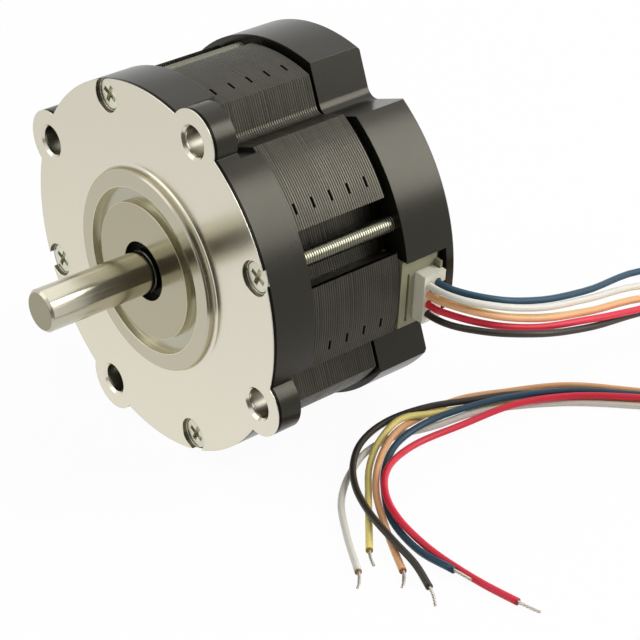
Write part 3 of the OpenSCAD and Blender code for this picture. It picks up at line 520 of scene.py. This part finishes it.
def direct_view(tree):
    """One for rays from the camera, off gloss or through glass, and otherwise nought."""
    rays = add(tree, "ShaderNodeLightPath")
    seen, glossy, through = (Number(rays[f"Is {name} Ray"]) for name in ("Camera", "Glossy", "Transmission"))
    return seen | (glossy | through)


def bracket_material(colours):
    """Semi-gloss paint, bare where the casting is machined: face, pilot, bores, holes and pockets. The bare
    metal carries painted light and shade, and a painted dark line runs along its edge.
    """
    material, shader, at = new_material("Painted Bracket", Specular_Tint=(1.0, 0.94, 0.78, 1.0))
    tree = at.id_data
    upright = add(tree, "ShaderNodeMapping", {"Vector": at, "Rotation": (0, REST_ROLL, 0)})[0]
    across, y, up = parts(upright)
    x, z = abs(across), abs(up)
    radius = distance(x, z)
    off_screw = distance(x.larger(z), x.smaller(z), SCREW_R * MM)

    # Where the metal is bare
    ear = BOLT_R * sqrt(0.5) * MM
    hole = distance(x, z, ear, ear) < HOLE_BARE_R * MM
    pocket = (off_screw < (POCKET_R + EDGE) * MM) & (radius < (BODY_R - THIN) * MM)
    holes = (hole | pocket) & (y < HOLE_BARE_L * MM)
    face = y < FACE_BARE_L * MM
    bare = holes | (radius < BORE_BARE_R * MM) | face
    rim = y < RIM_L * MM

    # Paint with a fine peel, and a painted dark reflection: a dead black line where it meets the machined
    # face
    peel = grain(at, 1500.0)
    cloud = grain(at, 60.0, 0.23, 0.28)
    paint = mixed_colour(peel["Value"], dimmed(colours.paint, 0.85), colours.paint)
    painted = mixed_colour(rim, paint, RIM_PAINTED_SHADE)
    gloss = (rim & ~bare).times_plus(RIM_GLOSS - PAINT_GLOSS, PAINT_GLOSS)

    # Machined metal with painted light and shade: painted lighter towards the floor, then tinted part by part
    # with a painted highlight and painted shade
    pilot = radius < PILOT_R * MM
    ring = (radius < (BOSS_R + RING_L + EDGE) * MM) & ~(radius < (BOSS_R - EDGE) * MM)
    sunk = holes & ~(y < SUNK_L * MM)
    # Painted light and shade: where each tint of the machined metal is laid
    light_and_shade = {
        "pilot": pilot & (y < -PILOT_SIDE_L * MM),
        "boss": radius < BOSS_R * MM,
        "ring": ring,
        "ring floor": ring & ~(y < -RING_FLOOR_L * MM),
        "sunk": sunk,
        "throat": (radius < (SHAFT_HOLE_R + THIN) * MM) & ~(y < -THROAT_L * MM),
        "pocket wall": (pocket - (off_screw < (POCKET_R - POCKET_WALL_T) * MM)) & ~face,
    }
    # Painted light: the metal is painted lighter below the axis and darker above it
    light_fade = LIGHT_FADE_R * MM
    low = add(tree, "ShaderNodeMapRange", {"Value": up, "From Min": light_fade, "From Max": -light_fade})[0]
    metal = mixed_colour(low, dimmed(colours.machined, 0.86), colours.machined)
    for name, mask in light_and_shade.items():
        metal = mixed_colour(mask, metal, tinted(metal, PAINTED_LIGHT_TINTS[name]))

    # Rings of tool marks, which stretch what the metal mirrors away from the axis
    marks = Number(effect(turned_marks, at, Pitch=0.0003)["Height"])
    metal = mixed_colour(marks, tinted(metal, (0.98, 0.98, 0.98)), metal)
    satin = mixed_value(sunk, grain(at, 45.0, 0.17, 0.23)["Value"], 0.36)
    outwards = add(tree, "ShaderNodeVectorMath", {0: at, 1: (1, 0, 1)}, operation="MULTIPLY")[0]
    feed(
        shader, Base_Color=mixed_colour(bare, painted, metal), Metallic=bare,
        Roughness=mixed_value(bare, cloud["Value"], satin), Specular_IOR_Level=gloss,
        Tangent=outwards, Anisotropic=bare * 0.25,
    )

    # A tool's round nose leaves a fillet at the foot of the pilot
    fillet = FILLET_R * MM
    near = (fillet - (radius - PILOT_R * MM)).larger(0.0)
    foot = (fillet - (fillet ** 2 - near * near).larger(0.0).root()) & ~pilot
    height = mixed_value(bare, peel["Height"], marks * 0.06)
    bump(shader, foot.times_plus(1 / BUMP_UNIT, height), BUMP_UNIT, 0.0002)
    return material


def plate_material(colours, pitch):
    """Punched edges of the plates: dark, oily and glossy, no two quite alike."""
    material, shader, at = new_material("Plate Edge", Metallic=0.75)
    index = ((parts(at)[1] - STACK_Y * MM) / (pitch * MM)).floor()
    noise = add(at.id_data, "ShaderNodeTexWhiteNoise", {"W": index}, noise_dimensions="1D")
    luck = Number(noise["Value"])
    blotch = grain(at, 260.0)
    share = luck.times_plus(0.55, Number(blotch["Value"]) * 0.45)
    shade = mixed_colour(share, dimmed(colours.lamination, 0.55), colours.lamination)
    feed(shader, Base_Color=shade, Roughness=luck.times_plus(0.16, 0.26))
    bump(shader, blotch["Height"], BUMP_UNIT)
    return material


# Meshes

def placed(name, data, **options):
    """A new object in the scene, with options set on its data."""
    for key, value in options.items():
        setattr(data, key, value)
    thing = bpy.data.objects.new(name, data)
    bpy.context.scene.collection.objects.link(thing)
    return thing


def made_piece(name, mesh, material, smooth=True):
    """Links a finished mesh as a piece on the motor's body."""
    piece = placed(name, mesh)
    mesh.materials.clear()
    mesh.materials.append(material)
    for face in mesh.polygons:
        face.use_smooth = smooth
    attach(piece, "motor")
    return piece


def finish(material, *names):
    """Gives CAD nodes their finish, and normals that follow their larger faces."""
    for name in names:
        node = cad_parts[name]
        node.data.materials.clear()
        node.data.materials.append(material)
        weighted = node.modifiers.new("Weighted Normals", "WEIGHTED_NORMAL")
        weighted.weight = 100
        weighted.keep_sharp = True


def new_mesh(name, verts, faces):
    mesh = bpy.data.meshes.new(name)
    mesh.from_pydata(verts, [], faces)
    return mesh


def closed_mesh(name, verts, faces):
    """A mesh whose faces are turned outwards."""
    mesh = new_mesh(name, verts, faces)
    fixed = bmesh.new()
    fixed.from_mesh(mesh)
    bmesh.ops.recalc_face_normals(fixed, faces=fixed.faces)
    fixed.to_mesh(mesh)
    fixed.free()
    return mesh


def band(near, far, count):
    """The faces between two rings of points."""
    for i in range(count):
        j = (i + 1) % count
        yield near + i, near + j, far + j, far + i


def smooth_curve(points, steps):
    """The smooth curve through a route's points, as the solids have it."""
    spans = [b - a for a, b in zip(points, points[1:])]
    headings = [spans[0].normalized()]
    for before, after in zip(spans, spans[1:]):
        turned = before.normalized() * after.length + after.normalized() * before.length
        headings.append(turned.normalized())
    headings.append(spans[-1].normalized())
    out = []
    for i, span in enumerate(spans):
        for k in range(steps):
            s = k / steps
            rise = s * s * (3 - 2 * s)
            out.append(
                points[i] * (1 - rise) + points[i + 1] * rise
                + headings[i] * (span.length * s * (1 - s) ** 2)
                - headings[i + 1] * (span.length * s * s * (1 - s))
            )
    return out + [points[-1]]


def tube_mesh(name, line, radii):
    """A closed tube along a line, with its ends capped."""
    verts, faces = [], []
    for i, p in enumerate(line):
        before, after = line[max(i - 1, 0)], line[min(i + 1, len(line) - 1)]
        along = (after - before).normalized()
        side = along.cross(UP).normalized()
        top = side.cross(along)
        for j in range(LEAD_SIDES):
            a = 2 * pi * j / LEAD_SIDES
            verts.append(tuple(p + (side * cos(a) + top * sin(a)) * radii[i]))
    last = (len(line) - 1) * LEAD_SIDES
    for near in range(0, last, LEAD_SIDES):
        faces += band(near, near + LEAD_SIDES, LEAD_SIDES)
    faces.append(tuple(reversed(range(LEAD_SIDES))))
    faces.append(tuple(range(last, last + LEAD_SIDES)))
    return closed_mesh(name, verts, faces)


def way_point(way, reach):
    """A point of a plug way's own axis, in metres."""
    across = COLUMN_MID + (way[0] - MIDDLE_COLUMN) * CONTACT_PITCH
    return Vector((
        reach * cos(CONNECTOR_TURN) - across * sin(CONNECTOR_TURN),
        ROW_Y[way[1]],
        reach * sin(CONNECTOR_TURN) + across * cos(CONNECTOR_TURN),
    )) * MM


def lead_route(way, route):
    """A lead's points from its way of the plug to its free end, in metres."""
    laid = [Vector((x + BODY_R, y + REAR_END, z - BODY_R)) * MM for x, y, z in route]
    return [way_point(way, LEAD_START_R), way_point(way, LEAD_STRAIGHT_R)] + laid


# Geometry Nodes trees

def node_tree(name, *floats, ints=("Count",)):
    """An empty geometry tree that takes a mesh, a material and numbers, and its outer sockets."""
    tree = bpy.data.node_groups.new(name, "GeometryNodeTree")
    kinds = {"Geometry": ("Geometry",), "Material": ("Material",), "Int": ints, "Float": floats}
    for kind, labels in kinds.items():
        for label in labels:
            tree.interface.new_socket(label, in_out="INPUT", socket_type="NodeSocket" + kind)
    tree.interface.new_socket("Geometry", in_out="OUTPUT", socket_type="NodeSocketGeometry")
    return tree, add(tree, "NodeGroupInput"), tree.nodes.new("NodeGroupOutput").inputs[0]


def grown(name, tree, values, mesh=None):
    """The plain mesh that a geometry tree makes from its named values."""
    seed = placed(name + "_seed", mesh or bpy.data.meshes.new(name + "_seed"))
    modifier = seed.modifiers.new("Grown", "NODES")
    modifier.node_group = tree
    for item in tree.interface.items_tree:
        if item.in_out == "INPUT" and item.name in values:
            modifier[item.identifier] = values[item.name]
    bpy.context.view_layer.update()
    evaluated = seed.evaluated_get(bpy.context.evaluated_depsgraph_get())
    made = bpy.data.meshes.new_from_object(evaluated)
    made.name = name
    seed.modifiers.remove(modifier)
    bpy.data.objects.remove(seed)
    return made


def axis_vector(axis, length):
    return add(plain(length).id_data, "ShaderNodeCombineXYZ", {axis: length})[0]


def helix(steps, turns, radius, length):
    return add(turns.id_data, "GeometryNodeCurveSpiral", {
        "Resolution": steps, "Rotations": turns, "Height": length,
        "Start Radius": radius, "End Radius": radius,
    })[0]


def wire(curve, sides, radius, caps=True):
    """A round wire along a curve."""
    tree = curve.id_data
    profile = add(tree, "GeometryNodeCurvePrimitiveCircle", {"Resolution": sides, "Radius": radius})[0]
    given = {"Curve": curve, "Profile Curve": profile, "Fill Caps": caps}
    return add(tree, "GeometryNodeCurveToMesh", given)[0]


def ring_of(piece, count, axis, turn=0.0):
    """Copies of a piece, spread evenly round an axis from a first turn."""
    tree = piece.id_data
    points = add(tree, "GeometryNodeMeshLine", {"Count": count, "Offset": (0, 0, 0)}, mode="OFFSET")[0]
    share = Number(add(tree, "GeometryNodeInputIndex")[0]) / count
    spin = axis_vector(axis, share.times_plus(2 * pi, turn))
    given = {"Points": points, "Instance": piece, "Rotation": spin}
    return add(tree, "GeometryNodeInstanceOnPoints", given)[0]


def finish_tree(copies, given, out):
    """Makes the copies real, gives them their material and ends the tree."""
    tree = copies.id_data
    real = add(tree, "GeometryNodeRealizeInstances", {0: copies})[0]
    painted = add(tree, "GeometryNodeSetMaterial", {"Geometry": real, "Material": given["Material"]})[0]
    tree.links.new(painted, out)
    return tree


def stacked_tree():
    """Repeats the mesh it is given along the motor's axis, leaving out some of every so many."""
    left_out = ("Left Out", "Also Left Out")
    tree, given, out = node_tree("Stacked Plates", "Pitch", "Start", ints=("Count", "Every", *left_out))
    line = add(tree, "GeometryNodeMeshLine", {
        "Count": given["Count"], "Start Location": axis_vector(1, given["Start"]),
        "Offset": axis_vector(1, given["Pitch"]),
    }, mode="OFFSET")[0]
    index = add(tree, "GeometryNodeInputIndex")[0]
    rest = add(tree, "FunctionNodeIntegerMath", {0: index, 1: given["Every"]}, operation="MODULO")[0]
    kept = [
        add(tree, "FunctionNodeCompare", {2: rest, 3: given[name]}, data_type="INT", operation="NOT_EQUAL")[0]
        for name in left_out
    ]
    both = add(tree, "FunctionNodeBooleanMath", enumerate(kept), operation="AND")[0]
    plates = add(tree, "GeometryNodeInstanceOnPoints", {
        "Points": line, "Selection": both, "Instance": given["Geometry"],
    })[0]
    return finish_tree(plates, given, out)


def thread_tree():
    """A thread's crest as a helix of wire round each of some rods."""
    floats = ("Turns", "Length", "Radius", "Crest", "Start", "Circle", "Turn")
    tree, given, out = node_tree("Rod Threads", *floats)
    coil = helix(THREAD_STEPS, given["Turns"], given["Radius"], given["Length"])
    offset = add(tree, "ShaderNodeCombineXYZ", {0: given["Circle"], 1: given["Start"]})[0]
    laid = add(tree, "GeometryNodeTransform", {
        "Geometry": wire(coil, THREAD_SIDES, given["Crest"], caps=False),
        "Translation": offset, "Rotation": (-pi / 2, 0, 0),
    })[0]
    return finish_tree(ring_of(laid, given["Count"], 1, given["Turn"]), given, out)


def strands_tree():
    """Strands twisted round a middle one, standing along Z."""
    tree, given, out = node_tree("Twisted Strands", "Length", "Turns", "Lay Radius", "Strand Radius")
    coil = helix(STRAND_STEPS, given["Turns"], given["Lay Radius"], given["Length"])
    straight = add(tree, "GeometryNodeCurvePrimitiveLine", {"End": axis_vector(2, given["Length"])})[0]
    strand, middle = (wire(curve, STRAND_SIDES, given["Strand Radius"]) for curve in (coil, straight))
    joined = tree.nodes.new("GeometryNodeJoinGeometry")
    tree.links.new(ring_of(strand, given["Count"], 2), joined.inputs[0])
    tree.links.new(middle, joined.inputs[0])
    return finish_tree(joined.outputs[0], given, out)


# Laminations

def arc_points(start, end, radius, mark):
    """A round stretch of a lobe, with a notch where a mark lies on it."""
    points = [(start + (end - start) * k / ARC_STEPS, radius) for k in range(ARC_STEPS + 1)]
    if mark is not None and start < mark < end:
        half, floor = asin(MARK_L / 2 / STACK_R), STACK_R - MARK_DEPTH
        points = (
            [p for p in points if p[0] < mark - half]
            + [(mark - half, radius), (mark - half, floor), (mark + half, floor), (mark + half, radius)]
            + [p for p in points if p[0] > mark + half]
        )
    return [(reach * cos(a), reach * sin(a)) for a, reach in points]


def stack_outline(grow, pattern):
    """The stack's four-lobed outline, grown outwards, with a pattern's notches."""
    r, flat, fillet = STACK_R + grow, STACK_FLAT + grow, STACK_FILLET - grow
    floor, half = GROOVE_FLOOR + grow, GROOVE_HALF - grow
    arc_end, groove_end = asin(flat / r), asin(half / r)
    corner = flat + fillet
    points = []
    for lobe in range(4):
        mark = radians(pattern[lobe]) if pattern else None
        lobe_points = arc_points(-arc_end, -groove_end, r, mark)
        lobe_points += [(floor, -half), (floor, half)]
        lobe_points += arc_points(groove_end, arc_end, r, mark)
        for k in range(FILLET_STEPS + 1):
            a = -pi / 2 - k * pi / 2 / FILLET_STEPS
            lobe_points.append((corner + fillet * cos(a), corner + fillet * sin(a)))
        turn = lobe * pi / 2 + REST_ROLL
        points += [(x * cos(turn) - z * sin(turn), x * sin(turn) + z * cos(turn)) for x, z in lobe_points]
    return points


def plate_mesh(name, pattern, thickness, grow):
    """One lamination's edge: a closed band along the stack's outline, with its burrs broken."""
    half = thickness / 2
    section = (
        (-PLATE_DEPTH, -half), (grow - BURR, -half), (grow, BURR - half),
        (grow, half - BURR), (grow - BURR, half), (-PLATE_DEPTH, half),
    )
    outline = stack_outline(grow, pattern)
    count = len(outline)
    verts, faces = [], []
    for k, (out, y) in enumerate(section):
        share = 1 + (out - grow) / STACK_R
        verts += [(x * share * MM, y * MM, z * share * MM) for x, z in outline]
        faces += band(k * count, (k + 1) % len(section) * count, count)
    return closed_mesh(name, verts, faces)


# Operators

class MOTOR_OT_studio(bpy.types.Operator):
    """Sets up the floor, the soft lamps and the camera."""

    bl_idname = "motor.studio"
    bl_label = "Studio"

    def execute(self, context):
        studio = settings()[2]
        self.place_camera(context.scene, studio)
        self.lay_floor(studio)
        self.stand_card(studio)
        self.light(context.scene, studio)
        context.scene.view_settings.view_transform = "Standard"
        return {"FINISHED"}

    def place_camera(self, scene, studio):
        data = bpy.data.cameras.new("Camera")
        camera = placed("Camera", data, sensor_width=36, lens=studio.lens, clip_start=0.01, clip_end=50)
        camera.matrix_world = (
            Matrix.Translation(Vector(studio.camera_place))
            @ Matrix.Rotation(studio.azimuth, 4, "Z")
            @ Matrix.Rotation(pi / 2 - studio.elevation, 4, "X")
            @ Matrix.Rotation(studio.roll, 4, "Z")
        )
        scene.camera = camera

    def lay_floor(self, studio):
        """White paper that the camera sees as lit almost evenly."""
        half, z = studio.floor_size / 2, -BODY_R * MM
        corners = [(-half, -half, z), (half, -half, z), (half, half, z), (-half, half, z)]
        mesh = new_mesh("Floor", corners, [(0, 1, 2, 3)])
        material, shader, at = new_material("Floor Paper", Roughness=0.9, Specular_IOR_Level=0.1)
        tree = at.id_data
        cloud = grain(at, 4.0)
        paper = mixed_colour(cloud["Value"], (0.90, 0.90, 0.90), (0.92, 0.92, 0.92))
        feed(shader, Base_Color=paper)
        glow = add(tree, "ShaderNodeEmission", {"Color": (1, 1, 1, 1), "Strength": 1.0})[0]
        seen = direct_view(tree) * FLOOR_GLOW
        mixed = add(tree, "ShaderNodeMixShader", {0: seen, 1: shader.outputs[0], 2: glow})[0]
        feed(tree.nodes["Material Output"], Surface=mixed)
        mesh.materials.append(material)
        placed("Floor", mesh)

    def light(self, scene, studio):
        """Even white light from all round, and the soft lamps."""
        world = bpy.data.worlds.new("Studio")
        world.use_nodes = True
        scene.world = world
        tree = world.node_tree
        strength = mixed_value(direct_view(tree), studio.sky, 1.0)
        feed(tree.nodes["Background"], Color=(1, 1, 1, 1), Strength=strength)
        for name, place, width, height, energy in LAMPS:
            data = bpy.data.lights.new(name, "AREA")
            lamp = placed(
                name, data, shape="RECTANGLE", size=width, size_y=height, energy=getattr(studio, energy),
            )
            lamp.location = place
            lamp.rotation_euler = (Vector(place) - LAMP_TARGET).to_track_quat("Z", "Y").to_euler()

    def stand_card(self, studio):
        """The dark room behind the camera, as a bent card that only reflections show."""
        foot = CARD_LIFT - BODY_R * MM
        section = ((CARD_NEAR, foot), (CARD_FAR, foot), (CARD_FAR, CARD_TOP))
        verts, faces = [], []
        for i in range(CARD_STEPS + 1):
            az = studio.azimuth + CARD_HALF_TURN * (2 * i / CARD_STEPS - 1)
            verts += [(out * sin(az), -out * cos(az), up) for out, up in section]
        for i in range(CARD_STEPS):
            for a in (3 * i, 3 * i + 1):
                faces.append((a, a + 1, a + 4, a + 3))
        mesh = new_mesh("Card", verts, faces)
        mesh.materials.append(grained("Dark Card", (0.12, 0.11, 0.09), 0.9, (0.8, 0.9), scale=40.0))
        card = placed("Card", mesh)
        card.visible_camera = False
        card.visible_diffuse = False
        card.visible_shadow = False


class MOTOR_OT_leads(bpy.types.Operator):
    """Lays the six leads and their bare, twisted ends."""

    bl_idname = "motor.leads"
    bl_label = "Leads"

    def execute(self, context):
        sizes, colours, _ = settings()
        tinned = grained("Tinned Strand", colours.tinned, 0.8, (0.18, 0.32), metallic=1.0, scale=2400.0)
        strands = strands_tree()
        radius = sizes.lead_diameter / 2
        for name, (way, route) in LEADS.items():
            colour = getattr(colours, name)
            line = smooth_curve(lead_route(way, route), LEAD_STEPS)
            mesh = tube_mesh("insulation_" + name, line, [radius] * len(line))
            vinyl = grained(
                name.title() + " Vinyl", colour, 0.93, (0.34, 0.46), scale=420.0, Specular_IOR_Level=0.32,
            )
            lead = made_piece("insulation_" + name, mesh, vinyl)
            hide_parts("lead_" + name)
            end = self.bare_end(name, line, sizes, strands, tinned)
            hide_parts("stripped_ends")
            rim = self.cut_rim(name, line, radius, colour)
        return {"FINISHED"}

    def bare_end(self, name, line, sizes, tree, material):
        """Twisted strands out of a lead's end, bent a little to one side."""
        strand = sizes.strand_diameter / 2
        mesh = grown("bare_end_" + name, tree, {
            "Count": sizes.strand_count, "Length": sizes.bare_length, "Turns": STRAND_TURNS,
            "Lay Radius": strand * 2, "Strand Radius": strand, "Material": material,
        })
        along = (line[-1] - line[-2]).normalized()
        turn = along.to_track_quat("Z", "Y").to_matrix()
        sideways = along.cross(UP).normalized() * BARE_BENDS[name] * MM
        for vertex in mesh.vertices:
            share = vertex.co.z / sizes.bare_length
            vertex.co = turn @ vertex.co + line[-1] + sideways * share ** 2
        return made_piece("bare_end_" + name, mesh, material)

    def cut_rim(self, name, line, radius, colour):
        """The darker edge that stripping leaves on the insulation."""
        along = (line[-1] - line[-2]).normalized()
        material = grained("Cut " + name.title(), dimmed(colour, CUT_TINT), 0.7, (0.4, 0.55), scale=2500.0)
        ends = [line[-1] - along * CUT_BACK * MM, line[-1] + along * CUT_OUT * MM]
        mesh = tube_mesh("cut_rim_" + name, ends, [radius * share for share in CUT_FLARE])
        return made_piece("cut_rim_" + name, mesh, material)


class MOTOR_OT_laminations(bpy.types.Operator):
    """Stacks the stator's plates, with the interlock marks in some of them."""

    bl_idname = "motor.laminations"
    bl_label = "Laminations"

    def execute(self, context):
        sizes, colours, _ = settings()
        count = sizes.lamination_count
        pitch = STACK_LEN / count
        thickness = pitch * sizes.plate_share
        grow = sizes.plate_proud / MM
        start = STACK_Y + pitch / 2
        edge = plate_material(colours, pitch)
        finish(grained("Plate Coating", colours.lamination_gap, 0.8, (0.5, 0.65)), "stator_core")
        tree = stacked_tree()
        stacks = {"stator_plates": (None, 0, 1, MARK_EVERY, *MARK_PATTERNS)}
        for index, pattern in MARK_PATTERNS.items():
            stacks[f"marked_plates_{index}"] = (pattern, index, MARK_EVERY, count, -1, -1)
        for name, (pattern, first, step, every, left_out, also_left_out) in stacks.items():
            plates = grown(name, tree, {
                "Count": (count - first - 1) // step + 1, "Pitch": pitch * step * MM,
                "Start": (start + pitch * first) * MM, "Every": every,
                "Left Out": left_out, "Also Left Out": also_left_out, "Material": edge,
            }, plate_mesh(name + "_plate", pattern, thickness, grow))
            made_piece(name, plates, edge, smooth=False)
        return {"FINISHED"}


class MOTOR_OT_brackets(bpy.types.Operator):
    """Paints both end brackets, with the machined faces bare."""

    bl_idname = "motor.brackets"
    bl_label = "End Brackets"

    def execute(self, context):
        finish(bracket_material(settings()[1]), "front_bracket", "rear_bracket")
        return {"FINISHED"}


class MOTOR_OT_screws(bpy.types.Operator):
    """Plates the four long screws and cuts their threads."""

    bl_idname = "motor.screws"
    bl_label = "Long Screws"

    def execute(self, context):
        sizes, colours, _ = settings()
        zinc = grained("Bright Zinc", colours.screw, 0.9, (0.2, 0.3), metallic=1.0, scale=700.0,
                       depth=0.000004, rounding=0.00008)
        # Painted shade on the rods past the heads
        self.dull_rods(zinc)
        finish(zinc, "through_screws")
        # The threads take a darker copy of the screw zinc: painted shade in the stack's grooves
        cut = grained("Thread Zinc", dimmed(colours.screw, 0.2), 0.85, (0.34, 0.42), metallic=1.0,
                      scale=1200.0, depth=0.000004)
        length, crest = (COLLAR_END - STACK_Y) * MM, sizes.thread_height
        threads = grown("screw_threads", thread_tree(), {
            "Turns": length / sizes.thread_pitch, "Length": length, "Radius": ROD_R * MM - crest / 2,
            "Crest": crest, "Start": STACK_Y * MM, "Circle": SCREW_R * MM,
            "Turn": -REST_ROLL, "Count": SCREW_COUNT, "Material": cut,
        })
        made_piece("screw_threads", threads, cut)
        return {"FINISHED"}

    def dull_rods(self, material):
        """Leaves the heads bright and paints shade on the rods past them, down at the roots of the threads in
        the stack's grooves.
        """
        tree = material.node_tree
        shader = tree.nodes["Principled BSDF"]
        bright = shader.inputs["Base Color"].links[0].from_socket
        along = parts(add(tree, "ShaderNodeTexCoord")["Object"])[1]
        feed(shader, Base_Color=mixed_colour(along < STACK_Y * MM, tinted(bright, ROD_PAINTED_SHADE), bright))


class MOTOR_OT_connector(bpy.types.Operator):
    """Finishes the header, the plug, their contacts and the board."""

    bl_idname = "motor.connector"
    bl_label = "Connector"

    def execute(self, context):
        colours = settings()[1]
        ivory = grained("Ivory Moulding", colours.header, 0.92, (0.4, 0.52), scale=800.0)
        finish(ivory, "connector_header")
        white = grained("White Moulding", colours.plug, 0.96, (0.3, 0.42), scale=800.0)
        finish(white, "plug_housing")
        contact = grained("Tinned Contact", colours.contact, 0.85, (0.22, 0.34), metallic=1.0, scale=1800.0)
        finish(contact, "plug_contacts", "header_pins")
        resist = grained("Solder Resist", colours.board, 0.8, (0.25, 0.38), scale=1200.0)
        finish(resist, "terminal_board")
        return {"FINISHED"}


class MOTOR_OT_shaft(bpy.types.Operator):
    """Finishes the ground shaft and the turned spacers."""

    bl_idname = "motor.shaft"
    bl_label = "Shaft"

    def execute(self, context):
        colours = settings()[1]
        finish(self.ground_steel(colours), "shaft")
        turned = marked("Turned Spacer", colours.shaft, 0.8, (0.3, 0.4), 0.000004, cross_lines,
                        Pitch=0.0002, Unevenness=0.5)
        finish(turned, "front_spacer", "rear_spacer")
        return {"FINISHED"}

    def ground_steel(self, colours):
        """Ground sides with faint lines across, duller turned ends, and painted shade as a thin black ring at
        the pilot's step.
        """
        material, shader, at = new_material("Ground Steel", Metallic=1.0)
        lines = effect(cross_lines, at, Pitch=0.0006, Unevenness=0.8)
        cloud = grain(at, 120.0, 0.15, 0.19)
        along = parts(at)[1]
        end = (along < (THIN - SHAFT_TIP) * MM) | (along > (REAR_TIP - THIN) * MM)
        # Painted shade: a thin black ring where the shaft enters the pilot
        step = abs(along + PILOT_T * MM) < STEP_T * MM
        side = mixed_colour(lines["Height"], dimmed(colours.shaft, 0.94), colours.shaft)
        side = mixed_colour(step, side, STEP_PAINTED_SHADE)
        axial = add(at.id_data, "ShaderNodeVectorTransform", {0: (0, 1, 0)}, vector_type="VECTOR",
                    convert_from="OBJECT", convert_to="WORLD")[0]
        feed(
            shader, Base_Color=mixed_colour(end, side, dimmed(colours.shaft, TIP_TINT)),
            Roughness=mixed_value(end, cloud["Value"], 0.4), Tangent=axial,
            Anisotropic=mixed_value(end, 0.5, 0.0),
        )
        bump(shader, lines["Height"], 0.0000004, 0.0001)
        return material


class MOTOR_OT_inside(bpy.types.Operator):
    """Finishes the pieces inside: rotor, windings, insulators and bearings."""

    bl_idname = "motor.inside"
    bl_label = "Inside Pieces"

    def execute(self, context):
        colours = settings()[1]
        moulded = grained("Slot Moulding", colours.insulator, 0.9, (0.45, 0.6), scale=700.0)
        finish(moulded, "front_insulator", "rear_insulator")
        copper = marked("Enamelled Copper", colours.winding, 0.55, (0.25, 0.4), 0.00006, cross_lines,
                        metallic=0.8, Pitch=0.00042, Unevenness=0.15)
        finish(copper, "phase_a_coils", "phase_b_coils")
        core = marked("Rotor Plates", colours.rotor, 0.6, (0.3, 0.42), 0.00002, cross_lines,
                      Pitch=0.0005, Unevenness=0.2)
        finish(core, "rotor_core_front", "rotor_core_rear")
        plated = grained("Plated Magnet", colours.magnet, 0.85, (0.25, 0.4), metallic=1.0)
        finish(plated, "rotor_magnet")
        steel = marked("Bearing Steel", colours.bearing, 0.92, (0.12, 0.22), 0.000002, turned_marks,
                       scale=70.0, Pitch=0.00012)
        # Painted shade: the inner rings, shields and wave washer take a darker copy of the bearing steel, as
        # they lie deep in the bores
        shield = marked("Oiled Shield", dimmed(colours.bearing, 0.3), 0.7, (0.32, 0.42), 0.000004,
                        turned_marks, scale=70.0, Pitch=0.0002)
        brass = grained("Brass Cage", colours.cage, 0.85, (0.3, 0.42), metallic=1.0)
        for bearing in ("front_bearing_", "rear_bearing_"):
            finish(steel, bearing + "outer_ring", bearing + "balls")
            finish(shield, bearing + "inner_ring", bearing + "shields")
            finish(brass, bearing + "cage")
        finish(shield, "wave_washer")
        return {"FINISHED"}


class MOTOR_PT_panel(bpy.types.Panel):
    """Lists the motor's pieces in the sidebar."""

    bl_idname = "MOTOR_PT_panel"
    bl_label = "Stepper Motor"
    bl_space_type = "VIEW_3D"
    bl_region_type = "UI"
    bl_category = "Stepper Motor"

    def draw(self, context):
        column = self.layout.column(align=True)
        for operator in OPERATORS:
            column.operator(operator.bl_idname)
        for group in settings():
            box = self.layout.box()
            for name in group.__annotations__:
                box.prop(group, name)


OPERATORS = (
    MOTOR_OT_studio,
    MOTOR_OT_leads,
    MOTOR_OT_brackets,
    MOTOR_OT_laminations,
    MOTOR_OT_screws,
    MOTOR_OT_connector,
    MOTOR_OT_shaft,
    MOTOR_OT_inside,
)
CLASSES = (MotorSizes, MotorColours, StudioSettings) + OPERATORS + (MOTOR_PT_panel,)


def register():
    for item in CLASSES:
        bpy.utils.register_class(item)
    bpy.types.Scene.motor_sizes = PointerProperty(type=MotorSizes)
    bpy.types.Scene.motor_colours = PointerProperty(type=MotorColours)
    bpy.types.Scene.motor_studio = PointerProperty(type=StudioSettings)


def unregister():
    del bpy.types.Scene.motor_studio
    del bpy.types.Scene.motor_colours
    del bpy.types.Scene.motor_sizes
    for item in reversed(CLASSES):
        bpy.utils.unregister_class(item)


def main():
    register()
    for operator in OPERATORS:
        group, name = operator.bl_idname.split(".")
        getattr(getattr(bpy.ops, group), name)()


if __name__ == "__main__":
    main()
